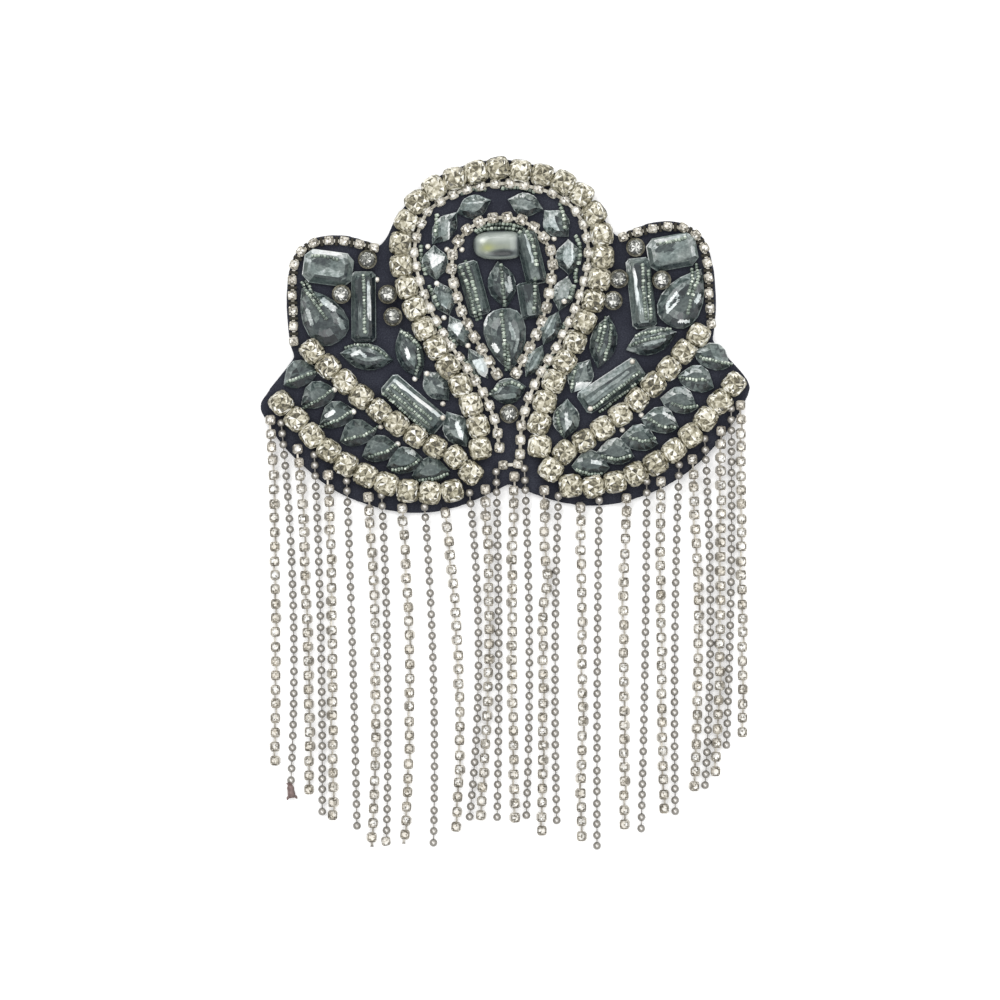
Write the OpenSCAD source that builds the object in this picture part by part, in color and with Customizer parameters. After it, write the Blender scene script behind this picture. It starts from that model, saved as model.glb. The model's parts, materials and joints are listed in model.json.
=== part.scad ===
// Jewelled shoulder epaulette: a felt patch set with claw-set stones, sew-on
// gems and cup chain, with a fringe of cup chain and ball chain.
// It lies flat, face up: +Y runs up the patch, +Z out of its face, and the
// origin is the middle of the felt's back.

/* [Patch] */
// Width of the felt patch, tip to tip
patch_w = 140; // [126:1:154]
// Height of the felt patch, dome to scallops
patch_h = 101; // [92:1:110]
// Thickness of the felt
felt_t = 2; // [1:0.5:3]
// Radius of the dome at the top
dome_r = 35.4; // [34.5:0.1:36.5]

// How far the hand-cut felt sits to the left of the rows
felt_shift = 0.7; // [0:0.1:1]

/* [Stones] */
// Width of a claw-set stone across its corners
stone_d = 6.2; // [5:0.1:6.2]
// Height of a claw-set stone
stone_h = 4.2; // [3:0.1:5]
// Gap between claw-set stones along a row
stone_gap = 0.6; // [0.5:0.1:1.5]
// Width of a single round stone
chaton_d = 5; // [4:0.1:5.2]

/* [Cup chain] */
// Width of a small cup
cup_d = 3; // [2:0.1:3]
// Height of a small cup
cup_h = 2.4; // [1.5:0.1:3]
// Length of the bar between two small cups
cup_link = 1.3; // [0.5:0.1:3]

/* [Gems] */
// Height of the large sew-on gems
gem_h = 3.5; // [3:0.1:5]
// Height of the small sew-on gems
small_gem_h = 2.9; // [2.5:0.1:4]
// Height of the upright wall below a gem's facets
girdle_h = 1.1; // [0.6:0.1:1.6]
// Length of the octagons on the wings
octagon_l = 13.8; // [11:0.1:13.8]
// Width of the octagons on the wings
octagon_w = 9.1; // [7:0.1:9.1]
// Length of the pears
pear_l = 18; // [14:0.1:18]
// Width of the pears
pear_w = 11.6; // [9:0.1:12]
// Length of the long baguettes
baguette_l = 19.6; // [15:0.1:19.6]
// Width of the long baguettes
baguette_w = 6.6; // [5:0.1:6.6]
// Length of the slim baguettes
slim_l = 15.2; // [12:0.1:15.2]
// Width of the slim baguettes
slim_w = 4.3; // [3:0.1:4.3]
// Length of the large navettes
navette_l = 15; // [11:0.1:15]
// Width of the large navettes
navette_w = 7.2; // [5:0.1:7.2]
// Length of the small navettes
petal_l = 10.2; // [8:0.1:10.2]
// Width of the small navettes
petal_w = 5.5; // [4:0.1:5.5]
// Length of the small navettes in the ring around the middle
ring_gem_l = 9; // [7:0.1:9.2]
// Length of the leaf-shaped gems along the lower band
leaf_l = 10; // [8:0.1:10.2]
// Width of the leaf-shaped gems
leaf_w = 5.6; // [4.5:0.1:5.8]

/* [Fringe] */
// Length of an average fringe strand
strand_l = 100; // [70:1:130]
// Diameter of a strand of cup chain
cup_strand_d = 3; // [2:0.1:3]
// Diameter of a strand of ball chain
ball_strand_d = 2; // [1.2:0.1:2]

/* [Clearance] */
// Gap between the felt and what is sewn on it
seat_gap = 0.1; // [0.1:0.05:0.3]
// Gap between neighbouring rows and chains
row_gap = 0.3; // [0.2:0.05:0.35]
// Distance past the felt's edge at which a strand starts to drop
edge_gap = 0.5; // [0.3:0.1:1]

/* [Hidden] */
half_w = patch_w / 2;
patch_top = patch_h / 2;
seat_z = felt_t + seat_gap;
stone_r = stone_d / 2;
cup_r = cup_d / 2;
// Stones, cups and tubes have this many sides
SIDES = 8;
// Curved outlines of the large gems have this many
GEM_SIDES = 12;
// The flats between two corners lie nearer the middle by this factor
FLAT = cos(180 / SIDES);
stone_flat = stone_r * FLAT;
stone_pitch = 2 * stone_flat + stone_gap;
cup_pitch = 2 * cup_r * FLAT + cup_link;

// Control points of the right half, as shares of half the patch's width and of its height
NOTCH = [[0.484, 0.261]];
WING = [[0.521, 0.275], [0.619, 0.298], [0.709, 0.304], [0.779, 0.290], [0.833, 0.248],
        [0.866, 0.183], [0.876, 0.099], [0.869, 0.010], [0.853, -0.042]];
TIP = [[0.954, -0.124], [0.991, -0.157]];
SCALLOP = [[1.000, -0.176], [0.991, -0.198], [0.926, -0.277], [0.821, -0.359], [0.689, -0.431],
           [0.521, -0.479], [0.364, -0.497], [0.221, -0.484], [0.100, -0.455], [0.000, -0.424]];
LOOP = [[0.000, 0.468], [0.174, 0.444], [0.327, 0.389], [0.407, 0.277], [0.400, 0.168],
        [0.346, 0.053], [0.263, -0.055], [0.173, -0.161], [0.127, -0.248], [0.121, -0.320]];
DIAGONAL = [[0.787, -0.026], [0.600, -0.156], [0.390, -0.274], [0.227, -0.339], [0.162, -0.387]];
HEM = [[0.921, -0.168], [0.810, -0.257], [0.667, -0.349], [0.504, -0.410], [0.364, -0.438],
       [0.241, -0.435]];
// The hem row drawn on to the tip and to the middle, where only strands are sewn
HEM_TIP = [[1.000, -0.106]];
HEM_MIDDLE = [[0.153, -0.389], [0.057, -0.347], [0.000, -0.344]];
BAND = [[0.843, -0.086], [0.700, -0.205], [0.533, -0.305], [0.327, -0.374]];
ARCH = [[0.000, 0.332], [0.091, 0.318], [0.161, 0.279], [0.205, 0.213], [0.193, 0.127],
        [0.157, 0.040], [0.111, -0.024], [0.040, -0.112]];
WING_CHAIN = [[0.507, 0.259], [0.579, 0.273], [0.679, 0.284], [0.764, 0.276], [0.823, 0.240],
              [0.846, 0.173], [0.847, 0.079], [0.850, 0.004]];

// Row names of GEMS: name, kind, x share, y share, turn
GEMS = [
    ["centre_octagon", "barrel", -0.019, 0.251, -2],
    ["centre_navette", "oval", -0.004, 0.139, 98],
    ["centre_pear", "pear", 0.004, -0.018, -84],
    ["slim_baguette_left", "slim", -0.120, 0.131, 103],
    ["slim_baguette_right", "slim", 0.119, 0.213, 101],
    ["slim_baguette_low", "short", 0.106, 0.092, 97],
    ["foot_navette", "petal", 0.003, -0.161, 11],
    ["wing_octagon_left", "octagon", -0.708, 0.207, -10],
    ["wing_octagon_right", "octagon", 0.694, 0.211, 8],
    ["wing_pear_left", "pear", -0.747, 0.076, 123],
    ["wing_pear_right", "pear", 0.737, 0.083, 57],
    ["wing_baguette_left", "baguette", -0.570, 0.093, 88],
    ["wing_baguette_right", "baguette", 0.561, 0.099, 94],
    ["wing_navette_left", "navette", -0.566, -0.048, -10],
    ["wing_navette_right", "navette", 0.594, -0.037, 17],
    ["side_navette_left", "navette", -0.390, -0.045, 108],
    ["side_navette_right", "navette", 0.399, -0.034, 76],
    ["diagonal_baguette_left", "baguette", -0.384, -0.188, -43],
    ["diagonal_baguette_right", "baguette", 0.423, -0.158, 31],
    ["diagonal_petal_left", "petal", -0.288, -0.138, 128],
    ["diagonal_petal_right", "petal", 0.300, -0.128, 58],
    ["foot_petal_left", "petal", -0.213, -0.263, 117],
    ["foot_petal_right", "petal", 0.234, -0.247, 84]
];
RING_COUNT = 6;
BAND_COUNT = 7;
// Places of the single round stones, as shares
CHATONS_LEFT = [[-0.546, 0.226], [-0.658, 0.131], [-0.470, 0.125], [-0.453, 0.062]];
CHATONS_RIGHT = [[0.546, 0.228], [0.646, 0.133], [0.472, 0.142], [0.446, 0.081]];
FOOT_CHATON = [[0.003, -0.225]];
FOOT_CUPS = [[-0.030, -0.369], [0.030, -0.369]];

// Row names of STRANDS: x share at the top, x share at the foot, share of its sideways bow,
// share of strand_l
STRANDS = [
    [-0.967, -1.010, 0.010, 0.990], [-0.924, -0.954, 0.030, 1.055], [-0.861, -0.877, 0.012, 1.005],
    [-0.796, -0.827, 0.010, 1.020], [-0.741, -0.786, 0.009, 1.007], [-0.669, -0.687, 0.003, 0.981],
    [-0.586, -0.629, 0.025, 0.996], [-0.529, -0.571, 0.015, 0.985], [-0.449, -0.499, 0.028, 0.979],
    [-0.356, -0.380, 0.018, 0.970], [-0.274, -0.290, 0.038, 0.947], [-0.170, -0.229, 0.036, 0.921],
    [-0.106, -0.187, 0.025, 0.966], [-0.060, -0.116, 0.009, 0.987], [0.013, -0.040, -0.009, 1.003],
    [0.056, 0.003, 0.016, 0.989], [0.134, 0.064, 0.000, 1.000], [0.189, 0.127, -0.010, 0.943],
    [0.279, 0.224, 0.005, 0.957], [0.354, 0.287, -0.003, 0.981], [0.467, 0.400, -0.008, 0.974],
    [0.550, 0.469, 0.005, 0.983], [0.609, 0.567, -0.006, 0.949], [0.684, 0.611, -0.009, 0.994],
    [0.740, 0.693, 0.020, 0.952], [0.794, 0.736, 0.023, 0.983], [0.863, 0.781, 0.011, 0.993],
    [0.906, 0.829, 0.010, 0.960], [0.946, 0.897, 0.003, 0.962]
];

// Lines
function mix(a, b, t) = a + (b - a) * t;
function place(share) = [share[0] * half_w, share[1] * patch_h];
function places(shares) = [for (share = shares) place(share)];
function flip(points) = [for (p = points) [-p[0], p[1]]];
function turned_round(points) = [for (i = [len(points) - 1:-1:0]) points[i]];
function spline_point(a, b, c, d, t) =
    0.5 * (2 * b + (c - a) * t + (2 * a - 5 * b + 4 * c - d) * t * t
           + (3 * b - a - 3 * c + d) * t * t * t);
// A smooth curve through the points, with the given number of steps between each two
function curve(points, steps) =
    let (last = len(points) - 1)
    concat(
        [for (i = [0:last - 1])
            let (a = points[max(i - 1, 0)],
                 d = points[min(i + 2, last)])
            for (s = [0:steps - 1]) spline_point(a, points[i], points[i + 1], d, s / steps)],
        [points[last]]);
function run_to(points) =
    [for (i = 0, run = 0; i < len(points);
          run = run + (i + 1 < len(points) ? norm(points[i + 1] - points[i]) : 0), i = i + 1) run];
function at(points, runs, s) =
    [lookup(s, [for (i = [0:len(points) - 1]) [runs[i], points[i][0]]]),
     lookup(s, [for (i = [0:len(points) - 1]) [runs[i], points[i][1]]])];
function heading(a, b) = atan2(b[1] - a[1], b[0] - a[0]);
// Places spread evenly along a line, each as x, y and heading
function spread(points, count) =
    let (runs = run_to(points),
         whole = runs[len(runs) - 1],
         reach = whole / count / 4)
    [for (i = [0:count - 1])
        let (s = whole * i / max(count - 1, 1),
             p = at(points, runs, s))
        [p[0], p[1], heading(at(points, runs, s - reach), at(points, runs, s + reach))]];
function length_of(points) = run_to(points)[len(points) - 1];
function spread_by(points, pitch) = spread(points, floor(length_of(points) / pitch) + 1);
// The line moved sideways, to its right as it runs
function beside(points, distance) =
    [for (i = [0:len(points) - 1])
        let (a = points[max(i - 1, 0)],
             b = points[min(i + 1, len(points) - 1)],
             along = (b - a) / norm(b - a))
        points[i] + distance * [along[1], -along[0]]];
STEPS = 6;
FELT_STEPS = 3;
loop_half = curve(places(LOOP), STEPS);
loop_line = concat(turned_round(flip(loop_half)), [for (i = [1:len(loop_half) - 1]) loop_half[i]]);
arch_half = curve(places(ARCH), STEPS);
arch_line = concat(turned_round(flip(arch_half)), [for (i = [1:len(arch_half) - 1]) arch_half[i]]);
lining_step = stone_flat + cup_r + row_gap;
lining_half = beside(loop_half, lining_step);
lining_line = beside(loop_line, lining_step);
diagonal_line = curve(places(DIAGONAL), STEPS);
hem_line = curve(places(HEM), STEPS);
wing_chain_line = curve(places(WING_CHAIN), STEPS);

// Felt
felt_outline_half = concat(
    [for (a = [90:-6:24]) [dome_r * cos(a), patch_top - dome_r + dome_r * sin(a)]],
    places(NOTCH),
    curve(places(WING), FELT_STEPS),
    places(TIP),
    curve(places(SCALLOP), FELT_STEPS));
felt_outline = concat(felt_outline_half,
                      [for (i = [len(felt_outline_half) - 2:-1:1])
                          [-felt_outline_half[i][0], felt_outline_half[i][1]]]);

module felt_backing() {
    color([0.13, 0.13, 0.17])
        translate([-felt_shift, 0, 0])
            linear_extrude(height = felt_t)
                polygon(felt_outline);
}

// Outlines of the stones, for a length and a width along X and Y
function round_outline(d) =
    [for (i = [0:SIDES - 1]) d / 2 * [cos(360 * (i + 0.5) / SIDES), sin(360 * (i + 0.5) / SIDES)]];
function cut_box_outline(l, w) =
    let (cut = BOX_CORNER * w,
         x = l / 2,
         y = w / 2)
    [[x, -y + cut], [x, y - cut], [x - cut, y], [-x + cut, y],
     [-x, y - cut], [-x, -y + cut], [-x + cut, -y], [x - cut, -y]];
function navette_outline(l, w, n) =
    [for (i = [0:n - 1])
        let (a = 360 * i / n)
        [l / 2 * cos(a), w / 2 * sin(a) * pow(abs(sin(a)), 0.25)]];
// The point of a pear lies at +X
function pear_outline(l, w, n) =
    let (spread = [for (i = [0:n - 1]) sin(360 * i / n) * sin(180 * i / n)])
    [for (i = [0:n - 1]) [l / 2 * cos(360 * i / n), w / 2 * spread[i] / max(spread)]];
// Corner cut off a box, as a share of its width
BOX_CORNER = 0.28;

// Row names of KINDS: kind, outline, length, width, height, cut
KINDS = [
    ["octagon", "box", octagon_l, octagon_w, gem_h, "high"],
    ["barrel", "box", 0.88 * octagon_l, 0.88 * octagon_w, gem_h, "high"],
    ["pear", "pear", pear_l, pear_w, gem_h, "high"],
    ["baguette", "box", baguette_l, baguette_w, gem_h, "high"],
    ["navette", "navette", navette_l, navette_w, gem_h, "high"],
    ["oval", "navette", 0.84 * navette_l, navette_w, gem_h, "high"],
    ["slim", "box", slim_l, slim_w, small_gem_h, "low"],
    ["short", "box", 0.66 * slim_l, slim_w, small_gem_h, "low"],
    ["petal", "navette", petal_l, petal_w, small_gem_h, "low"],
    ["ring", "navette", ring_gem_l, petal_w, small_gem_h, "low"],
    ["leaf", "pear", leaf_l, leaf_w, small_gem_h, "low"]
];
function kind_row(kind) = KINDS[search([kind], KINDS)[0]];
function gem_outline(row) =
    let (n = row[5] == "high" ? GEM_SIDES : SIDES)
    row[1] == "box" ? cut_box_outline(row[2], row[3])
    : row[1] == "pear" ? pear_outline(row[2], row[3], n)
    : navette_outline(row[2], row[3], n);

// Row names of the cuts: share of the outline, share of the height above the girdle
HIGH_CUT = [[1, 0], [0.86, 0.62], [0.55, 1]];
LOW_CUT = [[1, 0], [0.58, 1]];
STONE_CUT = [[0.86, 0], [1, 0.55], [0.62, 1]];
CUP_CUT = [[1, 0], [0.72, 1]];
// Sections of a cut stone: share of the outline, height above the seat
function sections(cut, low, high) = [for (row = cut) [row[0], mix(low, high, row[1])]];
function gem_sections(row) =
    concat([[1, 0]], sections(row[5] == "high" ? HIGH_CUT : LOW_CUT, girdle_h, row[4]));

// Closed cut stones, one at each place, as one polyhedron of separate shells
module cut_stones(spots, outline, sections) {
    n = len(outline);
    rings = len(sections);
    per_stone = n * rings;
    points = [for (spot = spots) for (section = sections) for (p = outline)
        let (q = section[0] * p)
        [spot[0] + q[0] * cos(spot[2]) - q[1] * sin(spot[2]),
         spot[1] + q[0] * sin(spot[2]) + q[1] * cos(spot[2]),
         seat_z + section[1]]];
    faces = [for (k = [0:len(spots) - 1]) let (base = k * per_stone)
        each concat(
            [[for (i = [0:n - 1]) base + i]],
            [for (r = [0:rings - 2]) for (i = [0:n - 1])
                let (low = base + r * n,
                     next = (i + 1) % n)
                [low + i, low + n + i, low + n + next, low + next]],
            [[for (i = [n - 1:-1:0]) base + (rings - 1) * n + i]])];
    polyhedron(points, faces);
}

module claw_stones(spots) {
    color([0.86, 0.82, 0.72])
        cut_stones(spots, round_outline(stone_d), sections(STONE_CUT, 0, stone_h));
}

module small_cups(spots) {
    color([0.88, 0.86, 0.83])
        cut_stones(spots, round_outline(cup_d), sections(CUP_CUT, 0, cup_h));
}

module chatons(shares) {
    color([0.62, 0.62, 0.60])
        cut_stones([for (share = shares) concat(place(share), [0])],
                   round_outline(chaton_d), sections(STONE_CUT, 0, stone_h));
}

module gem_at(kind, spots, fit = 1) {
    row = kind_row(kind);
    color(kind == "barrel" ? [0.72, 0.76, 0.68] : [0.30, 0.38, 0.40])
        cut_stones(spots, [for (p = gem_outline(row)) [p[0], fit * p[1]]], gem_sections(row));
}

module gem(row) {
    gem_at(row[1], [concat(place([row[2], row[3]]), [row[4]])]);
}

module loop_stones() {
    claw_stones(spread_by(loop_line, stone_pitch));
}

module diagonal_stones(side) {
    spots = spread_by(diagonal_line, stone_pitch);
    claw_stones([for (s = spots) [side * s[0], s[1], side * s[2]]]);
}

module hem_stones(side) {
    spots = spread_by(hem_line, stone_pitch);
    claw_stones([for (s = spots) [side * s[0], s[1], side * s[2]]]);
}

module arch_chain() {
    small_cups(spread_by(arch_line, cup_pitch));
}

module wing_chain(side) {
    spots = spread_by(wing_chain_line, cup_pitch);
    small_cups([for (s = spots) [side * s[0] - felt_shift, s[1], side * s[2]]]);
}

module foot_cups() {
    small_cups([for (share = FOOT_CUPS) concat(place(share), [0])]);
}

// The ring of small navettes midway between the arch and the lining chain
function nearest(p, points) =
    let (gaps = [for (q = points) norm(q - p)])
    points[search(min(gaps), gaps)[0]];
ring_line = [for (p = arch_half) (p + nearest(p, lining_half)) / 2];
ring_runs = run_to(ring_line);
// Where the first and the last gem sit from the ring's ends, in gem lengths
RING_ENDS = [0.8, 0.6];

// Room across the ring at a point, between the cups on both sides
function ring_room(p) =
    norm(p - nearest(p, arch_half)) + norm(p - nearest(p, lining_half)) - cup_d - 2 * row_gap;

module ring_gem(side, index) {
    s = mix(RING_ENDS[0] * ring_gem_l, length_of(ring_line) - RING_ENDS[1] * ring_gem_l,
            (index - 1) / (RING_COUNT - 1));
    p = at(ring_line, ring_runs, s);
    reach = petal_w / 2;
    turn = heading(at(ring_line, ring_runs, s - reach), at(ring_line, ring_runs, s + reach));
    gem_at("ring", [[side * p[0], p[1], side * turn]], min(1, ring_room(p) / petal_w));
}

// The band of leaf-shaped gems between the diagonal row and the hem row, points inward
BAND_TURN = [24, 5];
band_line = curve(places(BAND), STEPS);

module band_gems(side) {
    spots = spread(band_line, BAND_COUNT);
    gem_at("leaf", [for (i = [0:BAND_COUNT - 1])
        let (turn = mix(BAND_TURN[0], BAND_TURN[1], i / (BAND_COUNT - 1)))
        [side * spots[i][0], spots[i][1], side < 0 ? turn : 180 - turn]]);
}

// Distance between two rings of a tube, in diameters
LINING_RING = 2;
STRAND_RING = 3;

// Tubes that stand for chains
module tube(route, d) {
    n = SIDES;
    last = len(route) - 1;
    points = [for (i = [0:last])
        let (a = route[max(i - 1, 0)],
             b = route[min(i + 1, last)],
             along = (b - a) / norm(b - a),
             side = cross(along, [0, 0, 1]) / norm(cross(along, [0, 0, 1])),
             up = cross(side, along))
        for (k = [0:n - 1])
            let (turn = 360 * (k + 0.5) / n)
            route[i] + d / 2 / FLAT * (cos(turn) * side + sin(turn) * up)];
    faces = concat(
        [[for (k = [n - 1:-1:0]) k]],
        [for (i = [0:last - 1]) for (k = [0:n - 1])
            let (next = (k + 1) % n)
            [i * n + k, i * n + next, (i + 1) * n + next, (i + 1) * n + k]],
        [[for (k = [0:n - 1]) last * n + k]]);
    polyhedron(points, faces);
}

module lining_chain() {
    spots = spread_by(lining_line, LINING_RING * cup_d);
    color([0.88, 0.86, 0.83])
        tube([for (s = spots) [s[0], s[1], seat_z + cup_r]], cup_d);
}

// Length of a strand's drop to the floor for its height
DROP_SLOPE = 2.4;
// Lookup tables of the felt's lower edge and of the line the strands are sewn on
lower_edge = turned_round(curve(places(SCALLOP), FELT_STEPS));
sewn_line = turned_round(places(concat(HEM_TIP, HEM, HEM_MIDDLE)));
function edge_y(x) = lookup(abs(x), lower_edge);
function sewn_y(x) = lookup(abs(x), sewn_line);
function strand_d(i) = i % 2 == 0 ? cup_strand_d : ball_strand_d;

// A strand starts below the hem row, leaves the felt and runs on along the floor
function strand_route(i) =
    let (d = strand_d(i),
         r = d / 2,
         top_x = STRANDS[i][0] * half_w,
         foot_x = STRANDS[i][1] * half_w,
         slope = sewn_y(abs(top_x) + r) - sewn_y(max(abs(top_x) - r, 0)),
         below_row = (stone_r + cup_strand_d / 2 + row_gap) * norm([d, slope]) / d,
         top_y = sewn_y(top_x) - below_row,
         bow = STRANDS[i][2] * half_w,
         foot_y = top_y - STRANDS[i][3] * strand_l,
         edge = min(edge_y(abs(top_x) - d), edge_y(abs(top_x) + d)),
         leave_y = min(edge, top_y) - edge_gap,
         land_y = leave_y - DROP_SLOPE * seat_z,
         count = ceil((land_y - foot_y) / (STRAND_RING * d)),
         ys = concat([top_y, leave_y], [for (k = [0:count]) mix(land_y, foot_y, k / count)]))
    [for (y = ys)
        let (t = (top_y - y) / (top_y - foot_y))
        [mix(top_x, foot_x, t) + 4 * bow * t * (1 - t), y, y > land_y ? seat_z + r : r]];

module strands(first, last, colour) {
    color(colour)
        for (i = [first:2:last])
            tube(strand_route(i), strand_d(i));
}

module cup_strands(first, last) {
    strands(first, last, [0.80, 0.79, 0.76]);
}

module ball_strands(first, last) {
    strands(first, last, [0.45, 0.43, 0.41]);
}

felt_backing();
loop_stones();
diagonal_stones(-1);  // diagonal_stones_left
diagonal_stones(1);  // diagonal_stones_right
hem_stones(-1);  // hem_stones_left
hem_stones(1);  // hem_stones_right
lining_chain();
arch_chain();
wing_chain(-1);  // wing_chain_left
wing_chain(1);  // wing_chain_right
foot_cups();
chatons(CHATONS_LEFT);  // chatons_left
chatons(CHATONS_RIGHT);  // chatons_right
chatons(FOOT_CHATON);  // foot_chaton
band_gems(-1);  // band_gems_left
band_gems(1);  // band_gems_right
cup_strands(0, 8);  // cup_strands_left
cup_strands(10, 18);  // cup_strands_middle
cup_strands(20, 28);  // cup_strands_right
ball_strands(1, 9);  // ball_strands_left
ball_strands(11, 17);  // ball_strands_middle
ball_strands(19, 27);  // ball_strands_right
for (row = GEMS) gem(row);
for (i = [1:RING_COUNT]) ring_gem(-1, i);
for (i = [1:RING_COUNT]) ring_gem(1, i);
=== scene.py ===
# %% [markdown]
# # A jewelled fringe epaulette
#
# This notebook dresses a shoulder epaulette: a dark felt patch that carries
# claw-set stones, sew-on gems and small cup chain, with a fringe of cup chain and
# ball chain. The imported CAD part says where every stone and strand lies, so each
# mesh made here takes its place from one of the part's nodes. All lengths are in
# metres, which is Blender's own unit, and the small ones are written times MM.

# %% Load the frame
import json
import math
import random

import bmesh
import bpy
import numpy as np
from mathutils import Matrix, Vector
from mathutils.bvhtree import BVHTree

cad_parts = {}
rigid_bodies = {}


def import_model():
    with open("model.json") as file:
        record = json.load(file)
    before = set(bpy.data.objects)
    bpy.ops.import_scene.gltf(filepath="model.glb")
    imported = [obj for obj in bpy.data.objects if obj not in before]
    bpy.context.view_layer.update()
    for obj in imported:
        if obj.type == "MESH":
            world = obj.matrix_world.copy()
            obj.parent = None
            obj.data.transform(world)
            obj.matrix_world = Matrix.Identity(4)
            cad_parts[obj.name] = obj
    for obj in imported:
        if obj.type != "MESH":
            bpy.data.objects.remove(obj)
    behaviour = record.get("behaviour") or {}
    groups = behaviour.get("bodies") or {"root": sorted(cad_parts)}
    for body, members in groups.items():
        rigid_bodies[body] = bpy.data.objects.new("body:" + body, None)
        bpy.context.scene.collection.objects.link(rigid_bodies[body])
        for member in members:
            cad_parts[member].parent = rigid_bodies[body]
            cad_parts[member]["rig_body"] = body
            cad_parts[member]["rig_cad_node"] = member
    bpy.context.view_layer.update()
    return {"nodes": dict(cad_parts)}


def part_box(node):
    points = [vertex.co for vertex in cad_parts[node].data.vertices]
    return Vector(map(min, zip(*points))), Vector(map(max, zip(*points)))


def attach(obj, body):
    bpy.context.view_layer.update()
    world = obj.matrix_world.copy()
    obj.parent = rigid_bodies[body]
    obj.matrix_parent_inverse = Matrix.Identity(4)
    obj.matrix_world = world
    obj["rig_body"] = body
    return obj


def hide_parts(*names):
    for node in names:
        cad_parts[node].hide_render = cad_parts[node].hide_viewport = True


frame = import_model()
nodes = frame["nodes"]
MM = 0.001

# %% [markdown]
# ## The camera
#
# The photo was taken from straight above, with the epaulette turned a little to
# the left in the picture. A long lens from high up gives the same flat view with
# hardly any perspective, and the lens follows from how much floor the picture
# takes in.

# %% Camera over the epaulette
PHOTO_PIXELS = 1000
PICTURE_WIDTH = 285.4 * MM
PICTURE_CENTRE = (-3.4 * MM, -47.2 * MM)
PICTURE_ROLL = math.radians(-2.4)
CAMERA_HEIGHT = 1.6
PIXEL = PICTURE_WIDTH / PHOTO_PIXELS

bpy.ops.object.camera_add(location=(*PICTURE_CENTRE, CAMERA_HEIGHT), rotation=(0, 0, PICTURE_ROLL))
camera = bpy.context.object
camera.data.lens = camera.data.sensor_width * CAMERA_HEIGHT / PICTURE_WIDTH
bpy.context.scene.camera = camera
print("lens in mm:", round(camera.data.lens))


def from_photo(x, y, height=0.0):
    """The place under a point of the photo, counted in pixels from its top left."""
    half = PHOTO_PIXELS / 2
    offset = Vector(((x - half) * PIXEL, (half - y) * PIXEL, 0))
    offset.rotate(Matrix.Rotation(PICTURE_ROLL, 3, "Z"))
    return Vector((*PICTURE_CENTRE, height)) + offset


print("the picture's middle in mm:", [round(value / MM, 1) for value in from_photo(500, 500)])

# %% [markdown]
# ## Shader maths
#
# Materials are easier to read as sums than as wires. This class holds one output
# of a node tree; adding or multiplying it adds Math nodes behind the scenes, and
# its node method makes any other node: first the settings, then the values or
# links of the sockets.

# %% A socket that can be added and multiplied
class Shade:
    """One output in a material's node tree."""

    def __init__(self, tree, socket=None):
        self.tree = tree
        self.socket = socket

    def node(self, kind, settings=None, inputs=None, output=0):
        """A new node of this kind, with its settings and then its sockets filled in."""
        made = self.tree.nodes.new("ShaderNode" + kind)
        for name, value in (settings or {}).items():
            if name == "stops":
                stops = made.color_ramp.elements
                while len(stops) < len(value):
                    stops.new(1.0)
                for stop, (position, colour) in zip(stops, value):
                    stop.position = position
                    stop.color = colour
            else:
                setattr(made, name, value)
        for name, value in (inputs or {}).items():
            if isinstance(value, Shade):
                self.tree.links.new(value.socket, made.inputs[name])
            else:
                made.inputs[name].default_value = value
        return Shade(self.tree, made.outputs[output])

    def maths(self, operation, first, second):
        return self.node("Math", {"operation": operation}, {0: first, 1: second})

    def __add__(self, other):
        return self.maths("ADD", self, other)

    __radd__ = __add__

    def __mul__(self, other):
        return self.maths("MULTIPLY", self, other)

    def __sub__(self, other):
        return self.maths("SUBTRACT", self, other)

    def __rsub__(self, other):
        return self.maths("SUBTRACT", other, self)


# %% [markdown]
# The helpers below make the few things that every finish needs: a colour as a
# paint box shows it, turned into the linear light that shaders work in, a ramp of
# such colours, a mix of two, a noise that stays with the object, and the number
# that each face or vertex carries.

# %% Colours, ramps and noises
EXPOSED = 0.82


def screen(red, green, blue):
    """A screen colour in parts of 255, by the sRGB curve, held back for the bright light."""
    shares = [part / 255 for part in (red, green, blue)]
    linear = [s / 12.92 if s <= 0.04045 else ((s + 0.055) / 1.055) ** 2.4 for s in shares]
    return (*(EXPOSED * light for light in linear), 1.0)


def ramp(factor, *stops):
    """A colour ramp; each stop is a position and a screen colour."""
    colours = [(position, screen(*colour)) for position, *colour in stops]
    return factor.node("ValToRGB", {"stops": colours}, {"Fac": factor})


def mixed(factor, first, second, blend="MIX"):
    """Two colours mixed, or blended another way."""
    settings = {"data_type": "RGBA", "blend_type": blend}
    return first.node("Mix", settings, {0: factor, 6: first, 7: second}, 2)


def noise(shade, scale, detail=2.0, roughness=0.5):
    """Clouds from 0 to 1 that stay with the object."""
    place = shade.node("TexCoord", output="Object")
    inputs = {"Vector": place, "Scale": scale, "Detail": detail, "Roughness": roughness}
    return shade.node("TexNoise", inputs=inputs)


def carried(shade, name="tone"):
    """The number that each face or vertex carries under this name."""
    return shade.node("Attribute", {"attribute_name": name}, output="Fac")


def new_finish(name, fixed):
    """A new material with these fixed shader values, and a Shade to build its nodes with."""
    material = bpy.data.materials.new(name)
    material.use_nodes = True
    shader = material.node_tree.nodes["Principled BSDF"]
    for socket, value in fixed.items():
        shader.inputs[socket].default_value = value
    return material, Shade(material.node_tree)


def feed(material, varying):
    """Links each Shade to the socket of the material's shader that it is named for."""
    shader = material.node_tree.nodes["Principled BSDF"]
    for socket, shade in varying.items():
        material.node_tree.links.new(shade.socket, shader.inputs[socket])
    return material


print("white on this screen:", [round(part, 2) for part in screen(255, 255, 255)])

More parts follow.
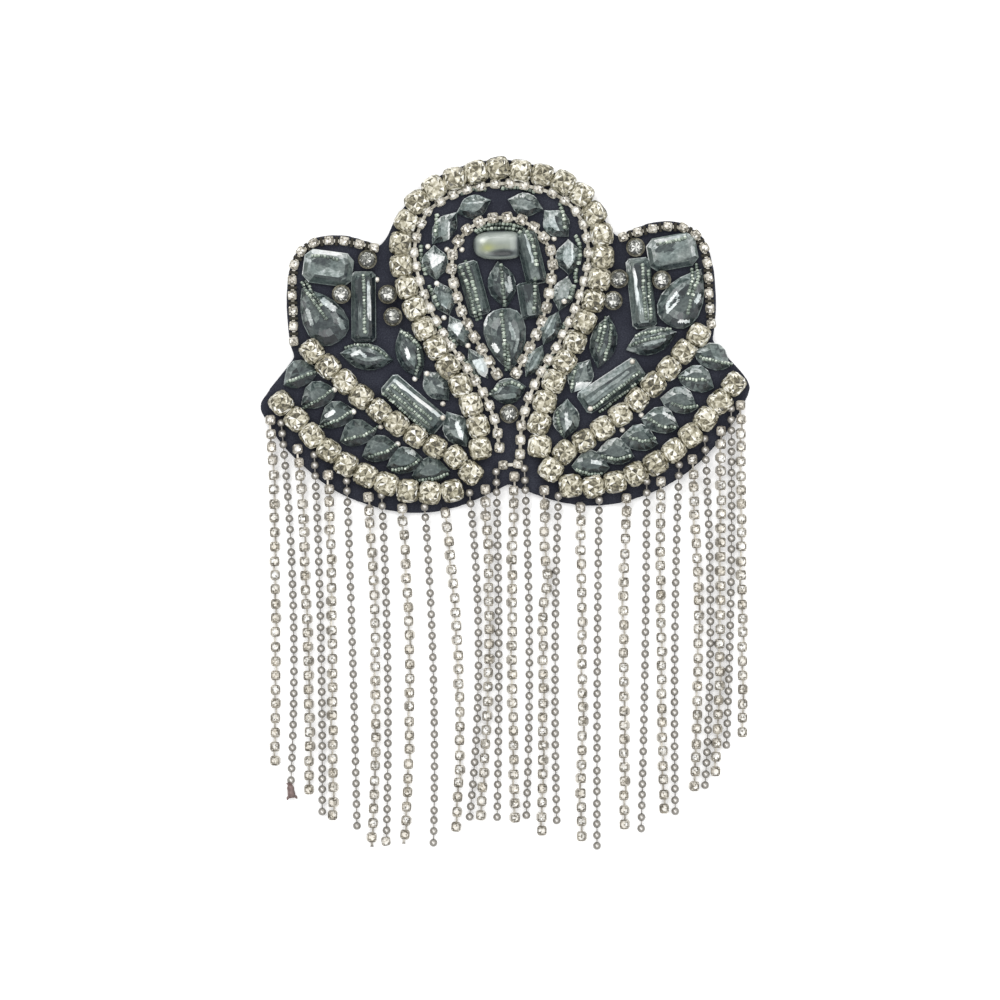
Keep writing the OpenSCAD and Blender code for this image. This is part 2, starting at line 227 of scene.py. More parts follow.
# %% [markdown]
# ## Finishes
#
# Felt is near black, with lighter fibres in every direction, so a fine noise
# mixes two dark blues and lifts the surface a little.
#
# A cut stone is harder. Its back is foiled, and each facet throws back another
# piece of the room, so neighbouring facets are white, cream and nearly black. To
# trace that light through real glass is slow and noisy. Here every facet carries
# a number called tone, from 0 for dark to 1 for bright, and a colour ramp turns
# it into colours: painted reflections and painted glints, not the stone's own
# colour. The gloss on top is real.

# %% Felt, stones, gems and beads
felt_cloth, shade = new_finish(
    "felt_cloth", {"Roughness": 0.95, "Specular IOR Level": 0.12, "Sheen Weight": 0.02})
nap = noise(shade, 2600.0, 5.0, 0.75) * 0.7 + noise(shade, 90.0) * 0.3
feed(felt_cloth, {
    "Base Color": ramp(nap, (0.35, 32, 34, 43), (0.5, 47, 49, 59), (0.68, 70, 73, 83)),
    "Normal": shade.node("Bump", inputs={"Strength": 0.6, "Distance": 0.3 * MM, "Height": nap}),
})


def facet_finish(name, fixed, reflection_mottle, grain, *stops, tint=None):
    """A cut stone: painted reflections through a ramp, mottled like light inside, tinted in places.
    """
    material, shade = new_finish(name, fixed)
    tone = carried(shade)
    # The noise mottles the painted reflections, like light thrown back inside the glass.
    colour = ramp(tone + (noise(shade, grain, 3.0, 0.6) - 0.5) * reflection_mottle, *stops)
    if tint:
        patches = ramp(noise(shade, 160.0, 1.0), (0.42, 0, 0, 0), (0.62, 255, 255, 255))
        colour = mixed(patches, colour, mixed(1.0, colour, screen(*tint), "MULTIPLY"))
    return feed(material, {"Base Color": colour, "Roughness": 0.22 - tone * 0.12})


GLASS = {"Metallic": 0.15, "IOR": 1.55, "Coat Weight": 0.6, "Coat Roughness": 0.03}
champagne_stone = facet_finish(
    "champagne_stone", GLASS, 1.2, 1250.0, (0.0, 50, 46, 32), (0.2, 102, 96, 74),
    (0.45, 170, 164, 140), (0.7, 216, 211, 191), (0.88, 245, 242, 228), (1.0, 255, 255, 250))
white_stone = facet_finish(
    "white_stone", GLASS, 0.56, 1500.0, (0.0, 104, 101, 92), (0.3, 166, 162, 152),
    (0.55, 228, 225, 216), (0.8, 248, 246, 241), (1.0, 255, 255, 253), tint=(252, 245, 232))
pale_stone = facet_finish(
    "pale_stone", GLASS, 0.8, 1500.0, (0.0, 84, 80, 70), (0.3, 142, 137, 125),
    (0.6, 214, 208, 195), (0.85, 242, 238, 228), (1.0, 255, 254, 250))
grey_stone = facet_finish(
    "grey_stone", GLASS, 0.64, 1300.0, (0.0, 40, 42, 42), (0.35, 88, 90, 86),
    (0.65, 140, 141, 134), (0.88, 205, 206, 198), (1.0, 250, 250, 246))
smoky_gem = facet_finish(
    "smoky_gem", {"IOR": 1.49, "Coat Weight": 0.5, "Coat Roughness": 0.02}, 0.6, 1000.0,
    (0.0, 20, 25, 30), (0.25, 44, 52, 56), (0.5, 86, 96, 94), (0.72, 137, 146, 143),
    (0.88, 198, 203, 202), (1.0, 246, 248, 247), tint=(240, 250, 251))
glass_bead = facet_finish(
    "glass_bead", {"IOR": 1.5, "Coat Weight": 0.8, "Coat Roughness": 0.05}, 0.48, 900.0,
    (0.0, 42, 52, 46), (0.4, 94, 110, 98), (0.7, 154, 168, 152), (1.0, 228, 236, 222))
print("finishes:", ", ".join(material.name for material in bpy.data.materials))

# %% [markdown]
# The metals are cheap stamped plating: colour and gloss wander a little. The balls
# carry a painted highlight on top and painted shade at their sides. The thread
# between the cups of the wings is black, with a twist too fine to model.

# %% Metals and thread
WEAR_GRAIN = 450.0


def metal_finish(name, dark, bright, roughness, metallic):
    """Plated metal between two colours, with a gloss that wanders round its roughness."""
    material, shade = new_finish(name, {"Metallic": metallic})
    wear = noise(shade, WEAR_GRAIN, 3.0)
    colour = ramp(wear, (0.35, *dark), (0.65, *bright))
    return feed(material, {"Base Color": colour, "Roughness": roughness + (wear - 0.5) * 0.2})


silver = metal_finish("silver", (176, 171, 156), (236, 232, 220), 0.3, 0.55)
# A darker silver; round the large stones its darkness is painted shade for the crevices between
# them.
old_silver = metal_finish("old_silver", (112, 108, 90), (190, 186, 168), 0.35, 0.6)
fringe_silver = metal_finish("fringe_silver", (154, 148, 138), (222, 217, 206), 0.3, 0.5)
copper = metal_finish("copper", (92, 76, 74), (140, 120, 116), 0.45, 0.4)
gunmetal = metal_finish("gunmetal", (112, 108, 102), (166, 162, 154), 0.28, 0.7)
ball_metal, shade = new_finish(
    "ball_metal", {"Metallic": 0.35, "Roughness": 0.22, "Coat Weight": 0.3})
# The tone is a painted highlight on top of each ball and painted shade at its sides, mixed with wear
# noise.
highlight_and_wear = carried(shade) + (noise(shade, WEAR_GRAIN, 3.0) - 0.5) * 0.3
feed(ball_metal, {"Base Color": ramp(
    highlight_and_wear, (0.0, 92, 88, 82), (0.4, 144, 140, 133), (0.6, 178, 174, 167), (0.95, 255, 254, 252))})
thread, shade = new_finish("black_thread", {"Specular IOR Level": 0.3})
twist = noise(shade, 3000.0)
feed(thread, {
    "Base Color": ramp(twist, (0.3, 24, 22, 18), (0.7, 62, 58, 46)), "Roughness": twist * 0.4 + 0.5})
print("all finishes so far:", len(bpy.data.materials))

# %% [markdown]
# ## Working in edit mode
#
# Every piece below is modelled the way it would be by hand: add a primitive, go
# into edit mode, select some faces, extrude or inset them. These helpers select
# faces by a rule instead of by clicking. Everything is deselected first, because
# an operator acts on all that is selected.

# %% Selecting by rule
def drop_selection():
    """Leaves edit mode and deselects every object."""
    if bpy.context.object and bpy.context.object.mode != "OBJECT":
        bpy.ops.object.mode_set(mode="OBJECT")
    bpy.ops.object.select_all(action="DESELECT")


def edit(piece):
    """Opens one object in edit mode with nothing selected."""
    drop_selection()
    piece.select_set(True)
    bpy.context.view_layer.objects.active = piece
    bpy.ops.object.mode_set(mode="EDIT")
    bpy.ops.mesh.select_mode(type="FACE")
    bpy.ops.mesh.select_all(action="DESELECT")


def pick(piece, wanted, kind="faces"):
    """Selects the faces, edges or verts of the piece in edit mode that pass the test."""
    bpy.ops.mesh.select_mode(type={"faces": "FACE", "edges": "EDGE", "verts": "VERT"}[kind])
    bpy.ops.mesh.select_all(action="DESELECT")
    mesh = bmesh.from_edit_mesh(piece.data)
    for element in getattr(mesh, kind):
        if wanted(element):
            element.select_set(True)
    bmesh.update_edit_mesh(piece.data)


def is_top(face):
    return face.normal.z > 0.99


def is_side(face):
    return abs(face.normal.z) < 0.05


def is_upright(edge):
    return abs(edge.verts[0].co.z - edge.verts[1].co.z) > 0.4 * MM


# %% [markdown]
# The next ones are the moves themselves: scaling, turning, extruding, sinking a
# top and rounding corners. Scaling and turning are given a fixed middle.

# %% Shaping what is selected
MIDDLE = (0, 0, 0)


def resize(x, y, z=1.0, about=MIDDLE):
    """Scales what is selected about a fixed point."""
    bpy.ops.transform.resize(value=(x, y, z), center_override=about)


def spin(angle):
    """Turns what is selected about the upright line through the middle."""
    bpy.ops.transform.rotate(value=angle, orient_axis="Z", center_override=MIDDLE)


def extrude(x, y, z):
    """Extrudes the faces that are selected and moves them."""
    bpy.ops.mesh.extrude_region_move(TRANSFORM_OT_translate={"value": (x, y, z)})


def raise_top(rise, share_x, share_y=None):
    """Extrudes the face that is selected upwards and draws it in."""
    extrude(0, 0, rise)
    resize(share_x, share_y or share_x)


def sink_top(piece, rim, depth):
    """Lowers the top face, but for a rim."""
    pick(piece, is_top)
    bpy.ops.mesh.inset(thickness=rim)
    bpy.ops.transform.translate(value=(0, 0, -depth))


def round_corners(piece, size, segments=1):
    """Bevels the upright edges and selects the top face."""
    pick(piece, is_upright, "edges")
    bpy.ops.mesh.bevel(offset=size, segments=segments)
    pick(piece, is_top)


def close_edit(piece, smooth_angle=None):
    """Leaves edit mode; with an angle, edges flatter than that many degrees are smoothed."""
    bpy.ops.object.mode_set(mode="OBJECT")
    if smooth_angle:
        bpy.ops.object.shade_smooth_by_angle(angle=math.radians(smooth_angle))
    return piece


# %% New cylinders and boxes, and joining
def open_new(name, size):
    """Names and sizes the primitive that was just added, and opens it in edit mode."""
    piece = bpy.context.object
    piece.name = name
    piece.scale = size
    bpy.ops.object.transform_apply(location=True, rotation=True, scale=True)
    edit(piece)
    return piece


def new_cylinder(name, sides, radius, bottom, top):
    """A cylinder between two heights, with a flat side facing along X, all selected."""
    drop_selection()
    bpy.ops.mesh.primitive_cylinder_add(
        vertices=sides, radius=radius, depth=top - bottom, location=(0, 0, (bottom + top) / 2))
    piece = open_new(name, (1, 1, 1))
    bpy.ops.mesh.select_all(action="SELECT")
    spin(math.pi / sides)
    return piece


def new_box(name, size, height=0.0, reach=0.0):
    """A box of this size with its middle this high and this far along X, nothing selected."""
    drop_selection()
    bpy.ops.mesh.primitive_cube_add(size=1, location=(reach, 0, height))
    return open_new(name, size)


def join(pieces, name):
    """Joins objects into the first one and names it."""
    drop_selection()
    for piece in pieces:
        piece.select_set(True)
    bpy.context.view_layer.objects.active = pieces[0]
    if len(pieces) > 1:
        bpy.ops.object.join()
    pieces[0].name = pieces[0].data.name = name
    return pieces[0]


# %% [markdown]
# ## Reading the CAD nodes
#
# A row of stones is one CAD node made of many separate solids. To find where each
# stone sits, corners that share a triangle are gathered into groups: each group
# is one solid. A strand is a tube of eight-cornered rings, so the middles of its
# rings, put in order, are the line that the chain follows.

# %% Solids, places and lines of a node
MICRON = 0.000001
RING_REACH = 2.2 * MM


def solids_of(name):
    """Each separate solid of a CAD node, as an array of its corners."""
    mesh = nodes[name].data
    corners = np.empty(len(mesh.vertices) * 3, np.float32)
    mesh.vertices.foreach_get("co", corners)
    corners = corners.reshape(-1, 3).astype(float)
    rounded = np.round(corners / MICRON).astype(int)
    same = np.unique(rounded, axis=0, return_inverse=True)[1].ravel()
    leader = list(range(same.max() + 1))

    def lead(k):
        while leader[k] != k:
            leader[k] = leader[leader[k]]
            k = leader[k]
        return k

    for polygon in mesh.polygons:
        first, *others = (same[v] for v in polygon.vertices)
        for other in others:
            leader[lead(other)] = lead(first)
    groups = {}
    for k, corner in zip(same, corners):
        groups.setdefault(lead(k), {})[k] = corner
    return [np.array(list(group.values())) for group in groups.values()]


def middle(corners):
    """The middle of a solid's outline, at the height of its back."""
    low, high = corners.min(axis=0), corners.max(axis=0)
    return Vector(((low[0] + high[0]) / 2, (low[1] + high[1]) / 2, low[2]))


def standing(spot, bearing=0.0, size=(1.0, 1.0, 1.0)):
    """A place for a template: scaled, turned about Z and moved to the spot."""
    return Matrix.LocRotScale(spot, Matrix.Rotation(bearing, 3, "Z"), Vector(size))


def row_places(name):
    """The places of a row's stones, each turned towards its nearest neighbour."""
    places = []
    spots = [middle(solid) for solid in solids_of(name)]
    for spot in spots:
        rest = [other for other in spots if other is not spot] or [spot + Vector((1, 0, 0))]
        near = min(rest, key=lambda other: (other - spot).length)
        places.append(standing(spot, math.atan2(near.y - spot.y, near.x - spot.x)))
    return places


def tube_line(corners, order):
    """The middles of a tube's rings, sorted by the order rule."""
    left = list(range(len(corners)))
    middles = []
    while left:
        ring = [left.pop()]
        for k in ring:
            near = [j for j in left if np.linalg.norm(corners[j] - corners[k]) < RING_REACH]
            ring.extend(near)
            left = [j for j in left if j not in near]
        middles.append(Vector(corners[ring].mean(axis=0)))
    return sorted(middles, key=order)


def walk(line, pitch, start=0.0):
    """Points at an even pitch along a line, each with the direction the line runs there."""
    steps, run = [], start
    for a, b in zip(line, line[1:]):
        length = (b - a).length
        while run <= length:
            steps.append((a + (b - a) * (run / length), (b - a).normalized()))
            run += pitch
        run -= length
    return steps


print("solids in loop_stones:", len(solids_of("loop_stones")))

# %% [markdown]
# ## Copies of a template
#
# What repeats is modelled once. Each copy gets its own mesh, is moved in the mesh
# itself and not by its object, and the copies are then joined into one piece per
# row. The tone of each facet is set after that, so no two stones are alike.

# %% Copying and scattering
def copies_of(template, places):
    """A copy of the template at each place, each with a mesh of its own."""
    copies = []
    for place in places:
        copy = template.copy()
        copy.data = template.data.copy()
        copy.data.transform(place)
        bpy.context.scene.collection.objects.link(copy)
        copies.append(copy)
    return copies


def scatter(template, places, name, material):
    """One piece with a copy of the template at each place, riding on the body."""
    piece = join(copies_of(template, places), name)
    piece.data.materials.clear()
    piece.data.materials.append(material)
    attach(piece, "root")
    print(f"{name}: {len(places)} copies, {len(piece.data.polygons)} faces")
    return piece


def jostled(places, seed, turn, lean, size=0.0):
    """The same places with a little chance in the turn, the lean and the size of each."""
    chance = random.Random(seed)
    moved = []
    for place in places:
        turned = Matrix.Rotation(math.radians(chance.uniform(-turn, turn)), 4, "Z")
        leaning = Matrix.Rotation(math.radians(chance.uniform(-lean, lean)), 4, "X")
        wider = [1 + chance.uniform(-size, size) for side in range(2)]
        moved.append(place @ turned @ leaning @ Matrix.Diagonal((*wider, 1, 1)))
    return moved


# %% Toning facets
SHINE_FROM = math.radians(115)
SHINE = Vector((math.cos(SHINE_FROM), math.sin(SHINE_FROM), 0))
# A facet that throws back a dark reflection gets this painted dark tone.
DARK_REFLECTION_TONE = 0.15


def set_tones(piece, tone_of, name="tone", smooth=False):
    """Gives each face, or where smooth each vertex, its tone, from 0, dark, to 1, bright."""
    layer = piece.data.attributes.new(name, "FLOAT", "POINT" if smooth else "FACE")
    parts = piece.data.vertices if smooth else piece.data.polygons
    layer.data.foreach_set("value", [min(1.0, max(0.0, tone_of(part))) for part in parts])


def sparkle(seed, template, base, lean, spread, flash, each=0.08, speck=0.0):
    """A tone rule for small stones, which are brighter towards the light.

    Each stone has its own mean, and facets get a painted glint or a painted dark reflection by
    chance.
    """
    chance = random.Random(seed)
    faces_each = len(template.data.polygons)
    means = {}

    def tone_of(face):
        mean = means.setdefault(face.index // faces_each, base + chance.uniform(-each, each))
        tone = mean + lean * face.normal.dot(SHINE) + spread * chance.uniform(-1, 1)
        luck = chance.random()
        return 1.0 if luck < flash else DARK_REFLECTION_TONE if luck > 1 - speck else tone

    return tone_of


# %% [markdown]
# ## The felt patch
#
# The patch is cut by hand from 2 mm felt. The CAD node has its exact outline but
# sharp edges, so a merged copy of it is remeshed into small even faces, which
# rounds the cut edge, and a displacement gives it the soft lumps of felt. Round
# the top of the dome the felt is drawn in a little, because it stays hidden
# under the stones there.

# %% Felt patch
FELT_GRAIN = 0.9 * MM
FELT_LUMPS = 0.25 * MM
LUMP_WIDTH = 4 * MM
DOME_MIDDLE = Vector((-0.7 * MM, 15.1 * MM, 0))
DOME_TOP = DOME_MIDDLE.y + 12 * MM
DRAWN_IN = 0.982

felt, = copies_of(nodes["felt_backing"], [Matrix()])
felt.name = "felt_patch"
felt.parent = None
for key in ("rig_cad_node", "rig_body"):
    if key in felt:
        del felt[key]
edit(felt)
bpy.ops.mesh.select_all(action="SELECT")
bpy.ops.mesh.remove_doubles(threshold=MICRON)
pick(felt, lambda vertex: vertex.co.y > DOME_TOP, "verts")
resize(DRAWN_IN, DRAWN_IN, about=DOME_MIDDLE)
close_edit(felt)
remesh = felt.modifiers.new("even_faces", "REMESH")
remesh.mode = "VOXEL"
remesh.voxel_size = FELT_GRAIN
bpy.ops.object.modifier_apply(modifier=remesh.name)
lumps = bpy.data.textures.new("felt_lumps", "CLOUDS")
lumps.noise_scale = LUMP_WIDTH
raised = felt.modifiers.new("lumps", "DISPLACE")
raised.texture = lumps
raised.strength = FELT_LUMPS
raised.mid_level = 0.75
bpy.ops.object.modifier_apply(modifier=raised.name)
bpy.ops.object.shade_smooth()
felt.data.materials.clear()
felt.data.materials.append(felt_cloth)
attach(felt, "root")
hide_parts("felt_backing")
felt_low, felt_high = (Vector(corner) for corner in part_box("felt_backing"))
FELT_TOP = felt_high.z

# %% [markdown]
# ## The large claw stones
#
# The rows that draw the epaulette are 6 mm glass stones, each in an open metal cup
# with four claws. From above such a stone is a square with round corners, a
# cushion cut. One is modelled from a box: its upright edges are bevelled, its top
# is drawn in to a flat table in two tiers, and poking those tiers splits each
# four-sided facet into the small triangles that make it glitter.

# %% Cushion cut stone
STONE_SIDE = 6.4 * MM
STONE_ROUNDING = 1.9 * MM


def glitter_crown(stone, rise, radius):
    """Two tiers of poked facets and a table on the face that is selected."""
    for share, drawn_in, degrees in ((0.65, 0.8, 9), (0.35, 0.62, 17)):
        raise_top(rise * share, drawn_in)
        spin(math.radians(degrees))
    pick(stone, lambda face: 0.1 < face.normal.z < 0.95)
    bpy.ops.mesh.poke(offset=radius * 0.02)
    pick(stone, is_top)
    bpy.ops.mesh.poke(offset=-radius * 0.03)
    return close_edit(stone)


cut_stone = new_box("cut_stone", (STONE_SIDE, STONE_SIDE, 0.9 * MM), 2.05 * MM)
round_corners(cut_stone, STONE_ROUNDING, 2)
glitter_crown(cut_stone, 1.6 * MM, STONE_SIDE / 2)
print("faces on a cut stone:", len(cut_stone.data.polygons))

# %% [markdown]
# The cup under a stone is a stamped dish. Its claws stand at the corners and bend
# over the girdle. One claw is a small box whose top is pulled inwards; three more
# are turned copies of it.

# %% Claw cup for a large stone
CORNERS = (45, 135, 225, 315)


def with_claws(cup, reach, width, foot, bend, tip, hook):
    """The cup with four claws at its rim: bars that lean in over the stone by their hook."""
    bar = new_box("claw", (width * 0.6, width, bend - foot), (foot + bend) / 2, reach)
    pick(bar, is_top)
    extrude(-hook, 0, tip - bend)
    resize(0.7, 0.6, about=(reach - hook, 0, tip))
    close_edit(bar)
    turns = [Matrix.Rotation(math.radians(corner), 4, "Z") for corner in CORNERS]
    cup = join([cup, *copies_of(bar, turns)], cup.name)
    bpy.data.objects.remove(bar)
    return cup


stone_cup = new_box("stone_cup", (6.5 * MM, 6.5 * MM, 2.0 * MM), 1.0 * MM)
round_corners(stone_cup, STONE_ROUNDING, 2)
sink_top(stone_cup, 0.3 * MM, 0.5 * MM)
close_edit(stone_cup)
stone_cup = with_claws(
    stone_cup, reach=3.4 * MM, width=1.0 * MM, foot=1.2 * MM, bend=2.7 * MM, tip=3.3 * MM,
    hook=0.6 * MM)
print("faces on a stone cup:", len(stone_cup.data.polygons))

# %% [markdown]
# The rows turn each stone towards the next one, as they sit on their base chain.
# A little chance is added to that turn, because they were set by hand.

# %% Rows of large stones
STONE_ROWS = ["loop_stones", "diagonal_stones_left", "diagonal_stones_right",
              "hem_stones_left", "hem_stones_right"]

for number, row in enumerate(STONE_ROWS):
    places = jostled(row_places(row), number, turn=10, lean=2, size=0.04)
    scatter(stone_cup, places, row + "_cups", old_silver)
    seated = jostled(places, number + 20, turn=4, lean=3)
    glass = scatter(cut_stone, seated, row + "_glass", champagne_stone)
    set_tones(glass, sparkle(number, cut_stone, base=0.42, lean=0.1, spread=0.36,
                             flash=0.08, each=0.09, speck=0.09))
    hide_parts(row)

# %% [markdown]
# ## Single grey stones
#
# The single stones beside the loop are 5 mm, smokier and set deeper, in a round
# collar. They use the same steps with other sizes. Their flat middle is lighter
# and the facets round it are darker, because a deep setting shades them.

# %% Single stones
GREY_RADIUS = 2.35 * MM

small_stone = new_cylinder("small_stone", 12, GREY_RADIUS, 1.2 * MM, 2.0 * MM)
pick(small_stone, is_top)
glitter_crown(small_stone, 1.4 * MM, GREY_RADIUS)
collar = new_cylinder("collar", 16, 2.7 * MM, 0, 2.3 * MM)
sink_top(collar, 0.35 * MM, 0.4 * MM)
pick(collar, is_side)
bpy.ops.mesh.inset(thickness=0.12 * MM, depth=-0.1 * MM, use_individual=True)
close_edit(collar)
for number, row in enumerate(["chatons_left", "chatons_right", "foot_chaton"]):
    places = jostled(row_places(row), number, turn=30, lean=2)
    scatter(collar, places, row + "_collars", old_silver)
    glass = scatter(small_stone, places, row + "_glass", grey_stone)
    even = sparkle(number + 40, small_stone, base=0.38, lean=0.3, spread=0.4,
                   flash=0.11, speck=0.08)
    set_tones(glass, lambda face: even(face) + (0.25 if face.normal.z > 0.9 else -0.08))
    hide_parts(row)

# %% [markdown]
# ## Small cup chain
#
# The small chain is a row of 3 mm cups, nearly square from above, each with a
# pale stone, soldered to a wire. A box with bevelled corners gives the cup. It is
# repeated more than five hundred times, so it has only a few dozen faces.

# %% Small cup, its stone and its link
small_cup = new_box("small_cup", (3.0 * MM, 3.0 * MM, 1.5 * MM), 0.75 * MM)
round_corners(small_cup, 0.7 * MM)
sink_top(small_cup, 0.36 * MM, 0.3 * MM)
close_edit(small_cup)
small_cup = with_claws(
    small_cup, reach=1.62 * MM, width=0.6 * MM, foot=0.9 * MM, bend=1.6 * MM, tip=1.95 * MM,
    hook=0.35 * MM)

tiny_stone = new_cylinder("tiny_stone", 8, 1.42 * MM, 1.1 * MM, 1.5 * MM)
pick(tiny_stone, is_top)
raise_top(0.75 * MM, 0.62)
bpy.ops.mesh.poke(offset=-0.03 * MM)
close_edit(tiny_stone)

LINK_HEIGHT = 0.5 * MM
cup_link = new_box("cup_link", (1.5 * MM, 0.6 * MM, 0.35 * MM), LINK_HEIGHT)
pick(cup_link, lambda face: abs(face.normal.x) > 0.9)
resize(1, 1.5, 1.2, about=(0, 0, LINK_HEIGHT))
pick(cup_link, is_side)
bpy.ops.mesh.inset(thickness=0.08 * MM, depth=-0.06 * MM, use_individual=True)
close_edit(cup_link)
stitch = new_box("stitch", (0.9 * MM, 2.5 * MM, 0.7 * MM), 0.55 * MM)
pick(stitch, lambda edge: abs(edge.verts[0].co.y - edge.verts[1].co.y) > MM, "edges")
bpy.ops.mesh.bevel(offset=0.2 * MM)
close_edit(stitch)
print("faces on a small cup and its stone:",
      len(small_cup.data.polygons), len(tiny_stone.data.polygons))

# %% [markdown]
# A chain that is drawn in the CAD part as single cups is read cup by cup. The
# lining is a tube there, so its cups are set along the tube's middle line, drawn
# in towards the gems round the dome.

# %% Places of the cup chains on the felt
CUP_PITCH = 4.07 * MM
LINK_REACH = 1.3 * CUP_PITCH
LINING_HEART = Vector((0, 5 * MM, 0))
LINING_TUCK = 0.8 * MM


def link_places(places):
    """A place between each pair of neighbouring cups."""
    spots = [place.translation for place in places]
    links = []
    for k, a in enumerate(spots):
        for b in spots[k + 1:]:
            if (b - a).length < LINK_REACH:
                links.append(standing((a + b) / 2, math.atan2(b.y - a.y, b.x - a.x)))
    return links


def around_heart(spot):
    """How far round the dome a spot lies, from its foot."""
    return math.atan2(spot.x - LINING_HEART.x, LINING_HEART.y - spot.y) % math.tau


lining_low, lining_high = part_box("lining_chain")
lining_line = tube_line(solids_of("lining_chain")[0], around_heart)
for end, inner in ((0, 1), (-1, -2)):
    outwards = (lining_line[end] - lining_line[inner]).normalized()
    lining_line[end] = lining_line[end] + outwards * 0.9 * CUP_PITCH
cup_rows = {"lining_chain": []}
for spot, way in walk(lining_line, CUP_PITCH, 1.5 * MM):
    height_share = (spot.y - lining_low.y) / (lining_high.y - lining_low.y)
    tuck = LINING_TUCK * min(1.0, 5 * height_share - 1)
    tucked = Vector((spot.x, spot.y, lining_low.z)) + Vector((0, 0, 1)).cross(way) * -tuck
    cup_rows["lining_chain"].append(standing(tucked, math.atan2(way.y, way.x)))
for row in ("arch_chain", "wing_chain_left", "wing_chain_right", "foot_cups"):
    cup_rows[row] = row_places(row)
print("cups:", {row: len(places) for row, places in cup_rows.items()})

# %% [markdown]
# Each chain has its own look: how long and wide its cups are against the
# template, and how bright its stones. On the wings black thread shows between the
# cups.

# %% Cup chains on the felt
CUP_LOOKS = {"lining_chain": ((0.96, 0.92), 0.82), "arch_chain": ((1.02, 0.98), 0.52)}
PLAIN_LOOK = ((0.88, 0.84), 0.52)

for number, (row, places) in enumerate(cup_rows.items(), 60):
    size, base = CUP_LOOKS.get(row, PLAIN_LOOK)
    shape = Matrix.Diagonal((*size, 1, 1))
    places = [place @ shape for place in jostled(places, number, turn=9, lean=5)]
    scatter(small_cup, places, row + "_cups", silver)
    scatter(cup_link, link_places(places), row + "_links", silver)
    if row.startswith("wing"):
        scatter(stitch, link_places(places), row + "_stitches", thread)
    glass = scatter(tiny_stone, places, row + "_glass", pale_stone)
    set_tones(glass, sparkle(number, tiny_stone, base, lean=0.15, spread=0.36,
                             flash=0.16, each=0.12, speck=0.12))
    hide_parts(row)

# %% [markdown]
# ## The fringe
#
# Twenty-nine strands hang from the hem, cup chain and ball chain in turn. In the
# CAD part each is a tube. The middle line of the tube is walked at the chain's
# own pitch, and each cup or ball is set on it, turned along the strand and
# rolled a little, as loose chain lies on a table.

# %% Places along the strands
SLACK = 0.2 * MM


def along(spot, way, roll=0.0, drop=0.0):
    """A place on a strand with X along it, lowered by drop and rolled about it."""
    side = Vector((0, 0, 1)).cross(way).normalized()
    up = way.cross(side)
    place = Matrix((way, side, up)).transposed().to_4x4()
    place.translation = spot
    return place @ Matrix.Rotation(roll, 4, "X") @ Matrix.Translation((0, 0, -drop))


def strand_places(name, pitch, seed, roll, drop, tuck):
    """Places of elements and links in a node's strands, the first tucked up under the hem."""
    chance = random.Random(seed)
    elements, links = [], []
    for corners in solids_of(name):
        line = tube_line(corners, lambda spot: -spot.y)
        line.insert(0, line[0] + (line[0] - line[1]).normalized() * tuck)
        turn = 0.0
        steps = [(spot + way * chance.uniform(-SLACK, SLACK), way)
                 for spot, way in walk(line, pitch, pitch / 2)]
        for (spot, way), (ahead, _) in zip(steps, steps[1:] + [(None, None)]):
            turn = 0.6 * turn + math.radians(chance.uniform(-roll, roll))
            lift = max(drop, 0) * abs(math.sin(turn)) + abs(way.z) * pitch / 3
            lift = Vector((0, 0, lift))
            elements.append(along(spot + lift, way, turn, drop))
            if ahead:
                link_way = (ahead - spot).normalized()
                links.append(along((spot + ahead) / 2 + lift, link_way, turn, drop))
    return elements, links


print("strands in cup_strands_left:", len(solids_of("cup_strands_left")))

# %% [markdown]
# A ball of ball chain is a hollow bead with a dimple at each end, where the wire
# goes in. A sphere lying on its side gives the bead once its two poles are pushed
# in. The wire is a thin bar with a waist.

# %% Ball and wire
BALL_RADIUS = 1.17 * MM
WIRE = 0.42 * MM

drop_selection()
bpy.ops.mesh.primitive_uv_sphere_add(segments=12, ring_count=8, radius=BALL_RADIUS)
ball = bpy.context.object
ball.name = "ball"
ball.data.transform(Matrix.Rotation(math.pi / 2, 4, "Y"))
edit(ball)
pick(ball, lambda vertex: abs(vertex.co.x) > BALL_RADIUS - 0.01 * MM, "verts")
resize(0.6, 1)
close_edit(ball)
bpy.ops.object.shade_smooth()

wire = new_box("wire", (1.6 * MM, WIRE, WIRE))
bpy.ops.mesh.select_all(action="SELECT")
bpy.ops.mesh.subdivide(number_cuts=2)
pick(wire, lambda vertex: abs(vertex.co.x) < 0.4 * MM, "verts")
resize(1, 0.7, 0.7)
close_edit(wire, 60)
print("faces on a ball and a wire:", len(ball.data.polygons), len(wire.data.polygons))

# %% Cup strands and ball strands
BALL_PITCH = 3.1 * MM
BALL_LIFT = 0.1 * MM
CUP_DROP = 1.45 * MM
CUP_TUCK = 1.2 * MM
CUP_SHAPE = Matrix.Diagonal((0.92, 0.88, 1, 1))
THIN_LINK = Matrix.Diagonal((1, 0.55, 0.8, 1))
INNER_STONE = Matrix.Diagonal((0.86, 0.86, 1, 1))
CRIMP_SPOT = from_photo(291, 790)
CRIMP_ROOM = 2.5 * MM


def painted_ball_highlight(vertex):
    """Painted shade at the sides of a ball and a painted highlight spot on its top."""
    return 1.0 if vertex.normal.z > 0.97 else 0.2 + 0.25 * max(0.0, vertex.normal.z)


